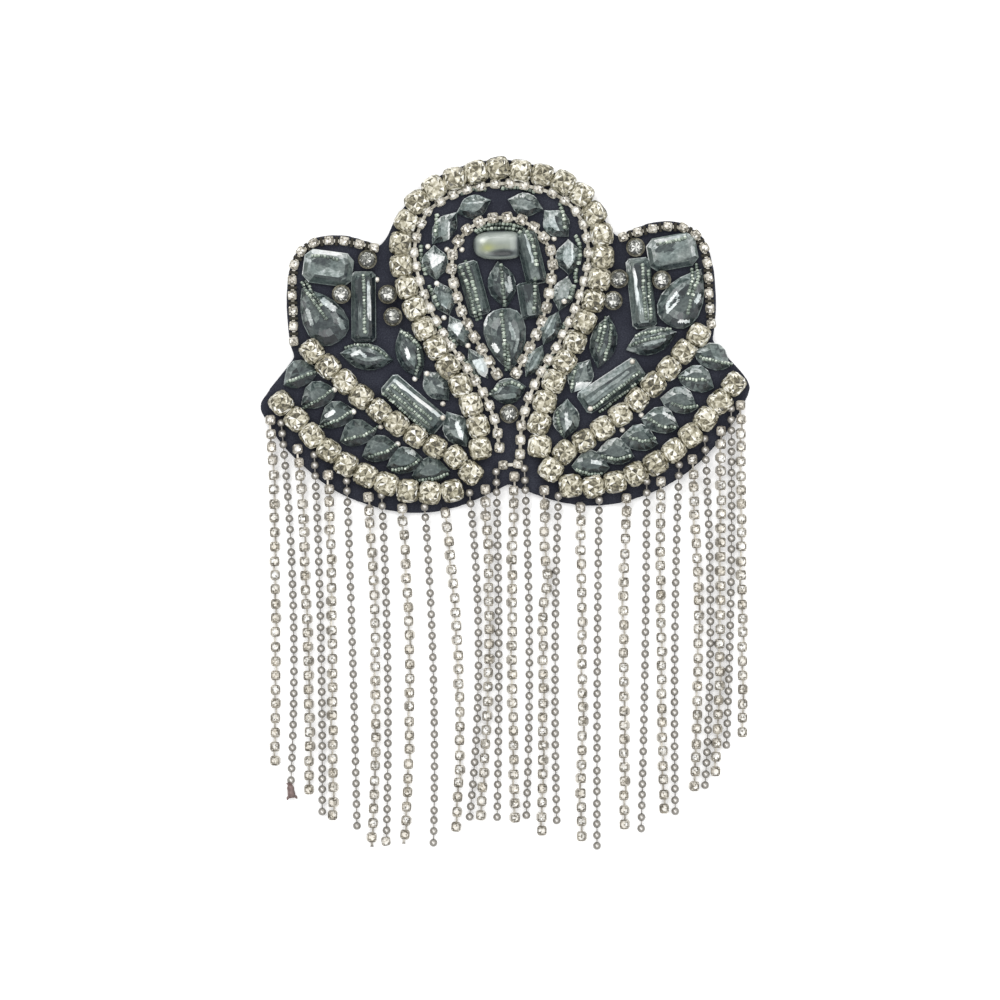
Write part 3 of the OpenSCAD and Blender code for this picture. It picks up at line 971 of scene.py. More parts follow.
for number, part in enumerate(["left", "middle", "right"]):
    node = "cup_strands_" + part
    places, links = strand_places(node, CUP_PITCH, number, 20, CUP_DROP, CUP_TUCK)
    places = [place @ CUP_SHAPE for place in places]
    links = [link @ THIN_LINK for link in links]
    scatter(small_cup, places, node + "_cups", fringe_silver)
    scatter(cup_link, links, node + "_links", fringe_silver)
    places = [place @ INNER_STONE for place in places]
    glass = scatter(tiny_stone, places, node + "_glass", white_stone)
    set_tones(glass, sparkle(number + 80, tiny_stone, base=0.76, lean=0.2, spread=0.38,
                             flash=0.18, each=0.12, speck=0.2))
    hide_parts(node)
    node = "ball_strands_" + part
    places, links = strand_places(node, BALL_PITCH, number + 10, 0, -BALL_LIFT, BALL_PITCH)
    places = [place for place in places
              if (place.translation - CRIMP_SPOT).to_2d().length > CRIMP_ROOM]
    balls = scatter(ball, places, node + "_balls", ball_metal)
    set_tones(balls, painted_ball_highlight, smooth=True)
    scatter(wire, links, node + "_wires", gunmetal)
    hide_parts(node)

# %% [markdown]
# The strands don't all end alike. One ball chain is closed by a small copper
# crimp, another by a single cup, and from two cup chains a bit of cut wire sticks
# out. The crimp is a flattened tube, pinched near its top, with two small feet.

# %% Ends of the strands
CRIMP_RADIUS = 1.1 * MM
CRIMP_HALF = 2.2 * MM
CRIMP_WAY = math.radians(96)
WIRE_ENDS = [(372, 843.5, 4.7), (404, 840.5, 4.6)]

crimp = new_cylinder("crimp", 12, CRIMP_RADIUS, -CRIMP_HALF, CRIMP_HALF)
bpy.ops.mesh.select_all(action="SELECT")
bpy.ops.mesh.subdivide(number_cuts=5)
pick(crimp, lambda vertex: 0.8 * MM < vertex.co.z < 2.0 * MM, "verts")
resize(0.5, 0.62)
pick(crimp, lambda vertex: abs(vertex.co.z) < 0.4 * MM, "verts")
resize(0.85, 0.9)
for side in (-1, 1):
    pick(crimp, lambda face: abs(face.normal.z) < 0.5 and face.normal.y * side > 0.6
         and face.calc_center_median().z < -1.4 * MM)
    extrude(0, side * 0.5 * MM, -0.45 * MM)
close_edit(crimp, 50)
crimp.data.transform(Matrix.Rotation(math.radians(90), 4, "Y"))
crimp_place = standing(CRIMP_SPOT + Vector((0, 0, CRIMP_RADIUS)), CRIMP_WAY)
scatter(crimp, [crimp_place], "copper_crimp", copper)
wire_places = []
for x, y, turn in WIRE_ENDS:
    way = Vector((math.cos(turn), math.sin(turn), -0.2)).normalized()
    thick = Matrix.Diagonal((1, 2.4, 2.4, 1))
    wire_places.append(along(from_photo(x, y, 1.1 * MM), way) @ thick)
scatter(wire, wire_places, "wire_ends", gunmetal)
last_cup = [standing(from_photo(386, 841, 0.05 * MM), 0.1, (0.84, 0.84, 1))]
scatter(small_cup, last_cup, "last_cup", fringe_silver)
glass = scatter(tiny_stone, last_cup, "last_cup_glass", white_stone)
set_tones(glass, sparkle(90, tiny_stone, base=0.75, lean=0.2, spread=0.3, flash=0.1))

# %% [markdown]
# ## Gems
#
# The sew-on gems come in three families. Boat and drop shapes start as a Bezier
# circle whose end points get short handles, which turns a round end into a tip.
# Long and eight-sided ones start as a box with cut corners. Both are then raised
# in tiers: girdle, crown, table, and flat rings in the table that stand for the
# facets of the back seen through the glass. The last is a barrel, for the middle.

# %% Girdles and crowns
GEM_TOP = 3.5 * MM
LOW_GEM_TOP = 2.9 * MM
GIRDLE = 1.1 * MM
FLATTENED = 0.55


def crown(piece, top, tiers, cuts):
    """Raises the selected face in tiers of (rise, x share, y share), then splits the facets."""
    for rise, share_x, share_y in tiers:
        raise_top(rise * (top - GIRDLE), share_x, share_y)
    pick(piece, lambda face: 0.05 < face.normal.z < 0.97)
    bpy.ops.mesh.quads_convert_to_tris(quad_method="FIXED")
    pick(piece, lambda face: face.normal.z > 0.97)
    bpy.ops.mesh.poke()
    pick(piece, lambda face: face.normal.z > 0.05)
    bpy.ops.mesh.subdivide(number_cuts=cuts)
    return close_edit(piece)


def bent_slab(name, steps, bend, flat_side=0):
    """A slab as high as the girdle from a Bezier circle shaped by bend; its top is selected."""
    drop_selection()
    bpy.ops.curve.primitive_bezier_circle_add(radius=1)
    slab = bpy.context.object
    slab.name = name
    slab.data.resolution_u = steps
    for point in slab.data.splines[0].bezier_points:
        point.handle_left_type = point.handle_right_type = "FREE"
        handles = (point.handle_left, point.handle_right)
        bend(point, round(point.co.x), round(point.co.y), handles)
    bpy.ops.object.convert(target="MESH")
    if flat_side:
        slab.data.transform(Matrix.Translation((0, flat_side * (1 - FLATTENED) / 2, 0)))
        slab.data.transform(Matrix.Scale(2 / (1 + FLATTENED), 4, (0, 1, 0)))
    edit(slab)
    bpy.ops.mesh.select_all(action="SELECT")
    bpy.ops.mesh.edge_face_add()
    extrude(0, 0, GIRDLE)
    bpy.ops.mesh.select_all(action="SELECT")
    bpy.ops.mesh.normals_make_consistent(inside=False)
    pick(slab, is_top)
    return slab


# %% Gem templates
BARREL_STEPS = 4
RIM = (0.12, 0.96, 0.93)
LEAF_CROWN = [RIM, (0.88, 0.6, 0.45)]


def curved_gem(name, top, tiers, tips=(-1, 1), waist=0.0, steps=4, cuts=2, flat_side=0, full=0.4):
    """A gem 2 long and 2 wide; the ends in tips are pointed, blunter where full is larger."""
    def bend(point, x, y, handles):
        if x in tips:
            for handle in handles:
                handle.x, handle.y = x * (1.1 - full), math.copysign(full, handle.y)
        elif y:
            for handle in (*handles, point.co):
                handle.x += waist
                handle.y *= FLATTENED if y == flat_side else 1.0

    return crown(bent_slab(name, steps, bend, flat_side), top, tiers, cuts)


def boxed_gem(name, corner_x, corner_y, tiers):
    """A gem 2 long and 2 wide from a box; the corner sizes are shares of its half sides."""
    gem = new_box(name, (2, 2, GIRDLE), GIRDLE / 2)
    round_corners(gem, corner_x)
    pick(gem, lambda vertex: abs(vertex.co.y) < 0.999 and abs(vertex.co.x) > 0.999, "verts")
    resize(1, (1 - corner_y) / (1 - corner_x))
    pick(gem, is_top)
    return crown(gem, GEM_TOP, tiers, 3)


def barrel_gem(name):
    """A gem 2 long and 2 wide, rounder at its left end, with a top that swells like a barrel."""
    def bend(point, x, y, handles):
        for handle in handles:
            if x:
                handle.y = math.copysign(0.55 if x < 0 else 0.93, handle.y)
            else:
                handle.x = -0.8 if handle.x < 0 else 0.95

    gem = bent_slab(name, 7, bend)
    share = 1.0
    step_turn = math.pi / 2 / (BARREL_STEPS + 1)
    for step in range(1, BARREL_STEPS + 1):
        turn = step * step_turn
        wanted = 0.35 + 0.65 * math.cos(turn)
        rise = (GEM_TOP - GIRDLE) * (math.sin(turn) - math.sin(turn - step_turn))
        raise_top(rise, wanted / share)
        share = wanted
    bpy.ops.mesh.poke(offset=0.03 * MM)
    pick(gem, lambda face: face.normal.z > 0.05)
    bpy.ops.mesh.subdivide(number_cuts=3)
    return close_edit(gem, 60)


gem_templates = {gem.name: gem for gem in (
    curved_gem("navette", GEM_TOP, [RIM, (0.6, 0.74, 0.68), (0.28, 0.75, 0.55)]),
    curved_gem("small_navette", LOW_GEM_TOP, [RIM, (0.88, 0.66, 0.5)], cuts=3, full=0.62),
    curved_gem("pear", GEM_TOP, [RIM, (0.6, 0.76, 0.72), (0.28, 0.7, 0.6)], (1,), -0.3),
    curved_gem("left_leaf", LOW_GEM_TOP, LEAF_CROWN, steps=3, flat_side=-1),
    curved_gem("right_leaf", LOW_GEM_TOP, LEAF_CROWN, steps=3, flat_side=1),
    boxed_gem("octagon", 0.3, 0.4, [RIM, (0.5, 0.84, 0.76), (0.38, 0.84, 0.7)]),
    boxed_gem("baguette", 0.1, 0.3, [RIM, (0.5, 0.93, 0.74), (0.38, 0.95, 0.6)]),
    barrel_gem("barrel"),
)}
for name, template in gem_templates.items():
    print(name, len(template.data.polygons), "faces")

# %% [markdown]
# Where a gem lies, how it is turned and how large it is come from its CAD solid:
# the long axis from the spread of its corners, the tip of a drop or leaf from the
# end that is narrower. The tables below are read by name: the first entry that is
# part of a gem's name counts. ROOM says how much longer and wider than its solid
# the glass is, where the photo leaves less felt bare.

# %% Names, kinds and room of the gems
SIDED_GEMS = ["wing_octagon", "wing_pear", "wing_baguette", "wing_navette", "side_navette",
              "diagonal_baguette", "diagonal_petal", "foot_petal", "band_gems"]
gem_names = ["centre_octagon", "centre_navette", "centre_pear", "slim_baguette_left",
             "slim_baguette_right", "slim_baguette_low", "foot_navette"]
for side in ("left", "right"):
    gem_names += [f"{gem}_{side}" for gem in SIDED_GEMS]
    gem_names += [f"ring_gem_{side}_{k}" for k in range(1, 7)]
KINDS = {
    "centre_octagon": "barrel", "octagon": "octagon", "baguette": "baguette", "pear": "pear",
    "navette": "navette", "petal": "small_navette", "ring_gem": "small_navette",
    "band_gems_left": "left_leaf", "band_gems_right": "right_leaf",
}
ROOM = {
    "ring_gem_left_1": (1.18, 1.2), "ring_gem_left_2": (1.3, 1.12), "ring_gem_right_1": (1.18, 1.2),
    "ring_gem_left_4": (1.15, 1.5), "ring_gem_left_5": (1.2, 1.85), "ring_gem_left_6": (1.16, 1.85),
    "ring_gem_right_4": (1.15, 1.45), "ring_gem_right_5": (1.18, 1.85),
        "ring_gem_right_6": (1.16, 1.85),
    "ring_gem": (1.14, 1.36), "band_gems": (1.1, 1.38), "diagonal_petal": (1.08, 1.3),
        "foot_petal": (1.14, 1.4),
    "slim_baguette": (1.04, 1.42), "wing": (1.03, 1.06), "side_navette": (1.03, 1.08),
        "centre_navette": (1.08, 1.12),
    "centre_octagon": (1.13, 1.03), "centre": (1.02, 1.05),
    "diagonal_baguette": (1.02, 1.08), "foot_navette": (1.04, 1.35),
}


def entry(table, name):
    """The first entry of a table whose key is part of the name."""
    return next(value for key, value in table.items() if key in name)


print("kinds:", {name: entry(KINDS, name) for name in gem_names[:3]}, "and so on")


# %% Gem places
def gem_place(corners, pointed, room):
    """The place and half sizes of a gem, from its solid's corners spread by its room."""
    flat = corners[:, :2]
    centre = flat.mean(axis=0)
    long_way = np.linalg.eigh(np.cov((flat - centre).T))[1][:, 1]
    if long_way[0] + 0.5 * long_way[1] < 0:
        long_way = -long_way
    across = np.array([-long_way[1], long_way[0]])
    u, v = (flat - centre) @ long_way, (flat - centre) @ across
    half_u, half_v = (u.max() - u.min()) / 2, (v.max() - v.min()) / 2
    middle_u, middle_v = (u.max() + u.min()) / 2, (v.max() + v.min()) / 2
    spot = Vector((*(centre + long_way * middle_u + across * middle_v), corners[:, 2].min()))
    if pointed:
        front = np.abs(v[u > middle_u + 0.5 * half_u]).max()
        back = np.abs(v[u < middle_u - 0.5 * half_u]).max()
        if back < front:
            long_way = -long_way
    size = (half_u * room[0], half_v * room[1], 1.0)
    return standing(spot, math.atan2(long_way[1], long_way[0]), size)


# %% [markdown]
# A gem's facets get their tones by direction, so that those that face the same
# way are alike. On top of that some facets throw a hard white glint back at the
# camera: each is a short line in the photo, given by its two ends, its width and
# its tone. Larger facets catch a whole window. They are rings of points in the
# photo, with the tone first.

# %% Tone rule for gems
RIM_TOP = GIRDLE + 0.1 * (LOW_GEM_TOP - GIRDLE)
TABLE_PARTS = 8


def from_line(point, start, end):
    """How far a flat point lies from the line between two others."""
    way = end - start
    share = min(1.0, max(0.0, (point - start).dot(way) / way.length_squared))
    return (start + way * share - point).length


def within(point, corners):
    """Whether a flat point lies inside a ring of corners."""
    inside = False
    for a, b in zip(corners, corners[1:] + corners[:1]):
        if (a.y > point.y) != (b.y > point.y):
            if point.x < (b.x - a.x) * (point.y - a.y) / (b.y - a.y) + a.x:
                inside = not inside
    return inside


def gem_tones(centre, seed, base, lean, spread, glints, flashes):
    """A tone rule: each direction has its tone, then come the glints and the flashes."""
    chance = random.Random(seed)
    facets = {}
    lines = [(from_photo(x0, y0).to_2d(), from_photo(x1, y1).to_2d(), width * PIXEL, tone)
             for x0, y0, x1, y1, width, tone in glints]
    rings = [([from_photo(x, y).to_2d() for x, y in corners], tone) for tone, *corners in flashes]

    def tone_of(face):
        for start, end, width, tone in lines:
            if from_line(face.center.to_2d(), start, end) < width:
                return tone
        for corners, tone in rings:
            if within(face.center.to_2d(), corners):
                return tone + chance.uniform(-0.05, 0.05)
        out = (face.center - centre).to_2d()
        if face.normal.z > 0.97:
            key = ("table", round(math.atan2(out.y, out.x) / math.tau * TABLE_PARTS))
            slope = -0.4 * out.normalized().dot(SHINE.to_2d())
        else:
            key = tuple(round(part, 2) for part in face.normal)
            slope = face.normal.dot(SHINE)
        own = facets.setdefault(key, chance.uniform(-spread, spread))
        # The low rim facets are painted lighter: a painted bright edge round the girdle.
        if face.normal.z > 0.05 and face.center.z - centre.z < RIM_TOP:
            own += 0.2
        return base + lean * slope + own

    return tone_of


# %% Base tone, lean towards the light and spread of the gems
GEM_LOOKS = {
    "wing_octagon": (0.58, 0.25, 0.16), "wing_pear_left": (0.34, 0.3, 0.18),
        "wing_pear": (0.41, 0.3, 0.18),
    "wing_baguette_left": (0.37, 0.25, 0.2), "wing_baguette": (0.44, 0.25, 0.18),
    "wing_navette": (0.43, 0.3, 0.24), "side_navette": (0.32, 0.3, 0.2),
        "diagonal_baguette": (0.5, 0.3, 0.18),
    "diagonal_petal": (0.5, 0.35, 0.25), "foot_petal": (0.5, 0.35, 0.25),
        "centre_pear": (0.39, 0.25, 0.15),
    "centre_navette": (0.35, 0.3, 0.22), "slim_baguette": (0.39, 0.25, 0.18),
        "foot_navette": (0.43, 0.3, 0.2),
    "ring_gem": (0.47, 0.4, 0.25), "band_gems_left": (0.33, 0.34, 0.2),
        "band_gems": (0.48, 0.4, 0.24),
}
print("gem looks:", len(GEM_LOOKS))

# %% Glints of the gems
GLINTS = {
    "wing_octagon_left": [(314, 252, 338, 254, 2.2, 1.0), (338, 254, 342, 258, 2, 0.9),
        (352, 258, 355, 268, 3, 0.7), (306, 260, 310, 262, 2, 0.85)],
    "wing_octagon_right": [(652, 238, 690, 230, 3, 0.66), (692, 248, 693, 255, 2, 0.85),
        (662, 262, 688, 255, 4, 0.66)],
    "wing_pear_left": [(324, 301, 334, 309, 3, 0.9), (308, 311, 312, 324, 2, 0.8),
        (340, 320, 343, 328, 2.5, 0.7)],
    "wing_pear_right": [(667, 305, 676, 293, 1.2, 1.0), (667, 305, 667, 312, 1.5, 1.0),
        (667, 313, 676, 303, 1.2, 1.0), (696, 302, 699, 296, 2, 0.95),
        (679, 322, 688, 322, 1.6, 0.95), (676, 293, 677, 302, 1, 0.9)],
    "wing_baguette_left": [(369, 285, 370, 318, 1.6, 0.92), (377, 292, 378, 325, 1.2, 0.6)],
    "wing_baguette_right": [(634, 272, 637, 300, 1.6, 1.0), (638, 300, 641, 312, 1.3, 0.85),
        (625, 264, 628, 268, 2.5, 0.8)],
    "wing_navette_left": [(353, 355, 360, 352, 1.8, 1.0), (360, 352, 366, 357, 1.5, 0.9),
        (372, 360, 380, 358, 1.6, 0.7)],
    "wing_navette_right": [(644, 345, 664, 340, 1.5, 0.75), (628, 350, 634, 350, 2.2, 0.75)],
    "side_navette_left": [(407, 350, 409, 358, 1.8, 1.0), (409, 358, 413, 361, 1.4, 0.7)],
    "side_navette_right": [(600, 345, 600, 352, 1.2, 0.7)],
    "diagonal_baguette_left": [(395, 381, 438, 415, 1.7, 1.0), (400, 381, 442, 412, 1.2, 0.6)],
    "diagonal_baguette_right": [(588, 402, 628, 372, 1.6, 0.72), (592, 404, 632, 374, 1.0, 0.6)],
    "foot_petal_left": [(457, 424, 461, 436, 2.2, 1.0)],
    "foot_petal_right": [(566, 414, 567, 428, 1.6, 0.9), (574, 418, 577, 424, 3, 0.6)],
    "centre_navette": [(509, 278, 511, 290, 1.6, 0.85), (506, 284, 509, 292, 1.6, 0.8)],
    "centre_pear": [(485, 325, 487, 317, 1.2, 0.95), (487, 317, 493, 311, 1.2, 0.95),
        (494, 346, 497, 351, 2.4, 1.0), (510, 324, 511, 331, 1.4, 0.8),
        (511, 330, 514, 338, 2.4, 0.74), (518, 340, 515, 352, 1.3, 0.7)],
    "slim_baguette_right": [(526, 238, 533, 262, 1.3, 0.9)],
    "slim_baguette_left": [(471, 275, 477, 305, 1.2, 0.6)],
    "foot_navette": [(496, 398, 514, 396, 2.5, 0.66)],
    "ring_gem_left_1": [(466, 204, 482, 203, 0.9, 0.85)],
    "ring_gem_left_2": [(449, 223, 449, 241, 0.9, 0.95)],
    "ring_gem_right_1": [(512, 206, 526, 208, 1.0, 0.72)],
    "ring_gem_right_3": [(572, 244, 572, 261, 1.0, 1.0)],
    "ring_gem_right_5": [(556, 312, 545, 333, 0.9, 0.85), (551, 315, 544, 328, 0.8, 0.75)],
    "ring_gem_right_6": [(542, 351, 530, 371, 0.9, 0.75)],
    "band_gems_left": [(327, 416, 334, 412, 2.2, 1.0), (296, 380, 312, 372, 1.8, 0.66),
        (316, 386, 326, 382, 2, 0.6)],
    "band_gems_right": [(592, 462, 600, 463, 1.8, 0.9), (664, 414, 674, 420, 1.8, 0.95),
        (676, 388, 690, 396, 1.8, 0.85), (686, 364, 700, 372, 1.8, 0.8)],
}
print("glints:", sum(len(lines) for lines in GLINTS.values()))

# %% Flashes of the gems
FLASHES = {
    "ring_gem_left_1": [(0.62, (459, 207), (470, 201), (486, 202), (480, 210), (464, 212))],
    "ring_gem_left_2": [(0.7, (441, 219), (449, 221), (450, 243), (445, 245), (441, 235))],
    "ring_gem_left_3": [(0.96, (428, 253), (445, 257), (444, 261), (432, 269)),
        (0.65, (433, 271), (443, 263), (438, 283))],
    "ring_gem_left_4": [(0.66, (441, 292), (452, 296), (450, 311), (441, 303))],
    "ring_gem_left_5": [(0.97, (447, 325), (465, 322), (458, 337)), (0.55, (457, 338),
        (466, 330), (466, 343))],
    "ring_gem_left_6": [(1.0, (472, 361), (484, 358), (490, 367), (485, 379), (478, 373))],
    "ring_gem_right_1": [(0.6, (507, 203), (520, 198), (532, 203), (524, 210), (511, 209))],
    "ring_gem_right_2": [(0.86, (539, 224), (554, 213), (556, 228), (542, 228)),
        (0.75, (549, 204), (555, 206), (556, 214))],
    "ring_gem_right_3": [(0.82, (566, 240), (573, 242), (573, 262), (567, 268), (562, 258))],
    "ring_gem_right_4": [(0.72, (563, 277), (573, 282), (567, 297), (555, 301))],
    "ring_gem_right_5": [(0.62, (549, 312), (560, 309), (552, 333), (543, 336))],
    "ring_gem_right_6": [(0.6, (536, 349), (546, 345), (538, 368), (528, 372))],
    "diagonal_petal_left": [(0.64, (421, 389), (432, 381), (438, 393), (427, 396))],
    "diagonal_petal_right": [(0.98, (592, 382), (572, 400), (576, 383)), (0.62, (578, 382),
        (590, 380), (584, 368))],
    "band_gems_left": [(0.9, (404, 451), (416, 449), (415, 457))],
}
print("flashes:", sum(len(rings) for rings in FLASHES.values()))

# %% [markdown]
# The middle stone is different: a milky, barrel-topped glass that looks like opal,
# with a yellow-green glow on the left. Light and shade are painted on it: a pale
# top with a painted highlight at its top left, painted shade at its ends and
# edges, and a painted dark reflection along its foot. Its tones run smoothly, so
# they are sums of soft spots: how much each adds, where it lies in the photo and
# how far it reaches to the side and up.

# %% Opal stone in the middle
OPAL_BASE = 0.53
# Soft spots of painted light and shade: the pale top, the highlight, the darker ends and edges and
# the dark reflection.
OPAL_LIGHT_AND_SHADE = [
    (0.16, 500, 239, 18, 4), (0.3, 482, 241, 3.5, 2.5), (0.16, 488, 249, 6, 4),
    (-0.95, 503.5, 254, 9, 2.6), (-0.2, 500, 254, 16, 3), (-0.55, 472.5, 247, 3, 13),
    (-0.45, 519.5, 247, 3, 13), (0.12, 501, 258, 14, 1.4), (-0.3, 498, 231.5, 26, 1.5),
    (-0.3, 498, 261.5, 26, 1.5),
]
OPAL_GLOW = [(0.95, 487.5, 248.5, 7, 5), (0.3, 501, 248, 12, 3.5)]


def soft_spots(base, spots):
    """A tone rule for vertices: a base and soft spots that fade out over their reach."""
    def tone_of(vertex):
        total = base
        for amount, x, y, reach_x, reach_y in spots:
            offset = (vertex.co.to_2d() - from_photo(x, y).to_2d()) / PIXEL
            total += amount * math.exp(-(offset.x / reach_x) ** 2 - (offset.y / reach_y) ** 2)
        return total

    return tone_of


opal_gem, shade = new_finish("opal_gem", {"IOR": 1.5, "Coat Roughness": 0.04, "Roughness": 0.25})
tone = carried(shade)
body = ramp(tone + (noise(shade, 500.0) - 0.5) * 0.12, (0.0, 36, 42, 44), (0.35, 92, 100, 100),
            (0.6, 152, 160, 153), (0.8, 190, 196, 189), (1.0, 234, 236, 230))
yellow = mixed(1.0, body, screen(255, 253, 176), "MULTIPLY")
feed(opal_gem, {"Base Color": mixed(carried(shade, "glow"), body, yellow), "Coat Weight": tone})
print("soft spots:", len(OPAL_LIGHT_AND_SHADE) + len(OPAL_GLOW))

# %% Gems on the part
gems = {}
for number, node in enumerate(gem_names):
    kind = entry(KINDS, node)
    pointed = kind == "pear" or kind.endswith("leaf")
    places = [gem_place(corners, pointed, entry(ROOM, node)) for corners in solids_of(node)]
    if kind == "barrel":
        gem = scatter(gem_templates[kind], places, node + "_glass", opal_gem)
        set_tones(gem, soft_spots(OPAL_BASE, OPAL_LIGHT_AND_SHADE), smooth=True)
        set_tones(gem, soft_spots(0.0, OPAL_GLOW), "glow", smooth=True)
    else:
        gem = scatter(gem_templates[kind], places, node + "_glass", smoky_gem)
        set_tones(gem, gem_tones(places[0].translation, number, *entry(GEM_LOOKS, node),
                                 GLINTS.get(node, ()), FLASHES.get(node, ())))
    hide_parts(node)
    gems[node] = gem

# %% [markdown]
# ## Strings of seed beads
#
# Rows of tiny glass beads are sewn over the gems, round the middle and along the
# petals. A bead is a short drum with rounded, dimpled ends. Each row is a line
# through points of the photo; a ray from above finds what the bead lies on there.

# %% Seed bead
BEAD_PITCH = 0.9 * MM
BEAD_RADIUS = 0.55 * MM
BEAD_HALF = 0.25 * MM

bead = new_cylinder("bead", 7, BEAD_RADIUS, -BEAD_HALF, BEAD_HALF)
pick(bead, lambda face: abs(face.normal.z) > 0.9)
bpy.ops.mesh.inset(thickness=0.16 * MM, depth=0.16 * MM)
bpy.ops.mesh.inset(thickness=0.2 * MM, depth=-0.1 * MM)
close_edit(bead, 60)
bead.data.transform(Matrix.Rotation(math.pi / 2, 4, "Y"))
print("faces on a seed bead:", len(bead.data.polygons))

# %% Surface under the beads
SKY_HIGH = 20 * MM
BEAD_SEAT = 0.4 * MM
HIGHEST_BEAD = 5.7 * MM
WOBBLE = 0.08 * MM

ground_corners, ground_faces = [], []
for gem in gems.values():
    start = len(ground_corners)
    ground_corners.extend(vertex.co.copy() for vertex in gem.data.vertices)
    ground_faces.extend([start + v for v in polygon.vertices] for polygon in gem.data.polygons)
ground = BVHTree.FromPolygons(ground_corners, ground_faces)
print("corners under the beads:", len(ground_corners))


def rest_height(spot):
    """The height of the gem or felt under a spot."""
    hit = ground.ray_cast(Vector((spot.x, spot.y, SKY_HIGH)), Vector((0, 0, -1)))[0]
    return hit.z if hit else FELT_TOP


def bead_row(points, chance, size):
    """Places of beads along a line through points of the photo, each a little off the line."""
    line = [from_photo(x, y) for x, y in points]
    places = []
    for spot, way in walk(line, BEAD_PITCH * size):
        spot += way.cross(Vector((0, 0, 1))) * chance.gauss(0, WOBBLE)
        spot.z = min(rest_height(spot) + BEAD_SEAT, HIGHEST_BEAD)
        turned = Matrix.Rotation(math.radians(chance.gauss(0, 9)), 4, "Z")
        scaled = Matrix.Scale(chance.uniform(0.88, 1.08) * size, 4)
        places.append(along(spot, way) @ turned @ scaled)
    return places


# %% [markdown]
# The rows below follow the photo: short ones inside the lining, a band over the
# pale stone and down the middle, then the ones on the wings and on the leaves.

# %% Bead rows
BEAD_ROWS = {
    "dome_beads": [
        [(462, 194), (474, 190), (487, 190)], [(503, 189), (520, 188), (534, 192)],
        [(437, 216), (436, 226), (436, 237)], [(421, 247), (421, 256), (423, 266), (427, 276)],
        [(430, 287), (434, 297), (438, 305)], [(437, 325), (444, 332), (452, 339), (459, 347)],
        [(465, 360), (470, 367), (475, 373), (480, 381)],
        [(560, 205), (563, 214), (564, 223), (565, 231)], [(576, 237), (580, 247), (580, 256),
        (578, 264)],
        [(576, 270), (575, 278), (577, 284)], [(573, 287), (572, 294), (569, 300)],
        [(567, 321), (563, 329), (560, 336)], [(553, 356), (549, 364), (544, 373)],
    ],
    "middle_beads": [
        [(478, 233), (484, 230), (493, 229), (503, 229), (513, 229.5), (521, 233)],
        [(476, 231), (482, 227), (490, 225), (500, 224), (511, 225), (519, 227), (526, 232),
        (530, 240)],
        [(531, 237), (534, 250), (537, 268)], [(535, 280), (535, 298), (534, 316)],
        [(466, 262), (472, 280), (478, 303), (481, 320)], [(461, 268), (467, 285), (473, 306),
        (477, 320)],
        [(501, 266), (503, 285), (505, 306)], [(502, 312), (504, 340), (506, 370)], [(508, 346),
        (509, 368)],
        [(490, 394), (499, 386), (512, 383), (523, 388)],
    ],
    "wing_beads_left": [
        [(313, 256), (322, 257), (331, 258), (340, 262)],
        [(302, 283), (310, 296), (319, 309), (328, 321)], [(306, 282), (314, 295), (322, 306)],
        [(364, 276), (365, 305), (365, 334)],
        [(346, 348), (357, 345), (369, 346), (380, 351), (388, 358)],
        [(402, 332), (418, 345), (420, 364), (414, 380)], [(408, 334), (422, 350)],
        [(388, 390), (430, 426)], [(384, 394), (425, 430)], [(393, 386), (433, 421)],
    ],
    "wing_beads_right": [
        [(657, 245), (667, 243), (677, 241), (687, 238)],
        [(696, 265), (698, 277), (694, 290), (690, 303), (687, 316)], [(692, 270), (692, 282),
        (687, 296)],
        [(642, 266), (643, 290), (646, 322)], [(648, 272), (649, 296), (651, 320)],
        [(636, 336), (654, 332), (672, 329)], [(630, 346), (644, 341), (664, 337)],
        [(606, 318), (603, 336), (598, 354)], [(611, 326), (609, 345), (604, 360)], [(601, 326),
        (597, 342)],
        [(594, 408), (640, 372)], [(600, 412), (644, 378)],
        [(576, 366), (573, 378), (572, 388)], [(557, 413), (559, 425), (562, 436)],
    ],
    "band_beads_left": [
        [(288, 382), (303, 377), (318, 372)], [(304, 408), (320, 400), (334, 390)], [(320, 427),
        (338, 421), (354, 410)],
        [(346, 440), (364, 436), (380, 426)], [(370, 457), (384, 453), (396, 445)], [(393, 470),
        (408, 468), (420, 460)],
        [(420, 480), (436, 479), (450, 473)],
    ],
    "band_beads_right": [
        [(700, 358), (716, 362), (732, 364)], [(680, 378), (694, 380), (708, 380)], [(672, 404),
        (686, 408), (698, 406)],
        [(648, 419), (662, 427), (676, 428)], [(630, 438), (643, 442), (656, 438)], [(602, 457),
        (616, 460), (630, 456)],
        [(577, 470), (590, 475), (603, 474)],
    ],
}
BEAD_SIZES = {"dome_beads": 1.25, "middle_beads": 1.15}
for number, (name, rows) in enumerate(BEAD_ROWS.items()):
    chance = random.Random(number)
    size = BEAD_SIZES.get(name, 1.0)
    places = [place for row in rows for place in bead_row(row, chance, size)]
    beads = scatter(bead, places, name, glass_bead)
    set_tones(beads, sparkle(number + 200, bead, base=0.44, lean=0.4, spread=0.12,
                             flash=0.03, each=0.36))

# %% [markdown]
# Single larger beads hold the tips of the gems and fill the gaps between rows.

# %% Tip beads
TIP_BEADS = [
    (377, 280), (443, 418), (443, 404), (427, 374), (415, 379), (632, 362), (590, 409),
    (335, 390), (354, 412),
    (381, 427), (398, 444), (696, 350), (674, 376), (641, 415), (622, 430), (437, 284),
    (444, 318), (554, 239),
    (462, 250), (428, 247), (564, 302), (468, 346), (447, 250),
]
TIP_SIZE = 0.7
HIGHEST_TIP = 4.6 * MM

chance = random.Random(9)
places = []
for x, y in TIP_BEADS:
    spot = from_photo(x, y)
    spot.z = min(rest_height(spot), HIGHEST_TIP) + 0.5 * MM
    places.append(standing(spot, chance.uniform(0, math.tau), [TIP_SIZE] * 3))
tips = scatter(ball, places, "tip_beads", pale_stone)
set_tones(tips, sparkle(300, ball, base=0.72, lean=0.25, spread=0.1, flash=0.0, each=0.15))

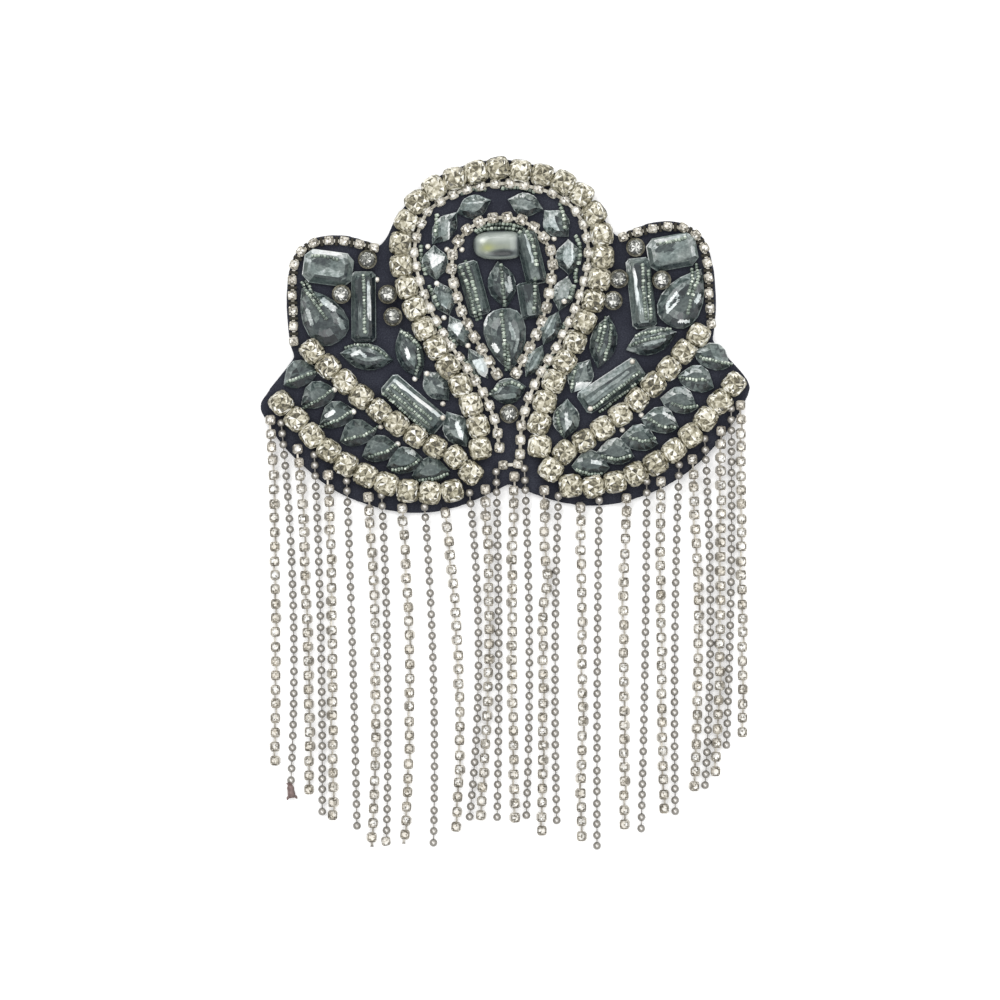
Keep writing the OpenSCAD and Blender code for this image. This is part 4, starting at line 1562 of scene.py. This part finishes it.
# %% [markdown]
# ## Floor and light
#
# The photo's background is pure white and nearly without shadows, as on a light
# table. A pale floor that gives off a little light of its own, wide softboxes and
# the Standard view give that. The softboxes stand round the sky and not at its
# top, so flat tables stay dark and tilted facets catch a bright edge.

# %% Floor, softboxes and sky
FLOOR_SIDE = 4
FLOOR_HEIGHT = -0.1 * MM
LAMP_AWAY = 1.5
WHITE = (1.0, 1.0, 1.0, 1.0)
SOFTBOXES = {
    "key_light": (125, 55, 1.0, 9.5), "fill_light": (20, 50, 1.0, 6),
    "front_light": (265, 55, 1.0, 6), "rim_light": (75, 30, 0.5, 2),
}

drop_selection()
bpy.ops.mesh.primitive_plane_add(size=FLOOR_SIDE, location=(*PICTURE_CENTRE, FLOOR_HEIGHT))
floor = bpy.context.object
floor.name = "floor"
paper, shade = new_finish("white_paper", {
    "Roughness": 0.9, "Specular IOR Level": 0.2, "Emission Color": WHITE, "Emission Strength": 0.18})
whites = [(0.3, (0.92, 0.92, 0.92, 1)), (0.7, (0.95, 0.95, 0.95, 1))]
grain = {"Fac": noise(shade, 300.0)}
feed(paper, {"Base Color": shade.node("ValToRGB", {"stops": whites}, grain)})
floor.data.materials.append(paper)
for name, (azimuth, elevation, size, watts) in SOFTBOXES.items():
    drop_selection()
    bpy.ops.object.light_add(type="AREA")
    lamp = bpy.context.object
    lamp.name = name
    lamp.data.size = size
    lamp.data.energy = watts
    turn, rise = math.radians(azimuth), math.radians(elevation)
    flat = math.cos(rise)
    away = Vector((math.cos(turn) * flat, math.sin(turn) * flat, math.sin(rise)))
    lamp.location = Vector((*PICTURE_CENTRE, 0)) + away * LAMP_AWAY
    lamp.rotation_euler = away.to_track_quat("Z", "Y").to_euler()
sky = bpy.data.worlds.new("sky")
bpy.context.scene.world = sky
sky.use_nodes = True
sky.node_tree.nodes["Background"].inputs["Color"].default_value = WHITE
sky.node_tree.nodes["Background"].inputs["Strength"].default_value = 0.8
bpy.context.scene.view_settings.view_transform = "Standard"
print("lights:", ", ".join(SOFTBOXES))

# %% [markdown]
# ## Finish
#
# The templates have done their work and go.

# %% Remove the templates, finish
for template in [cut_stone, small_stone, stone_cup, collar, small_cup, tiny_stone, cup_link,
                 stitch, ball, wire, bead, crimp, *gem_templates.values()]:
    bpy.data.objects.remove(template)
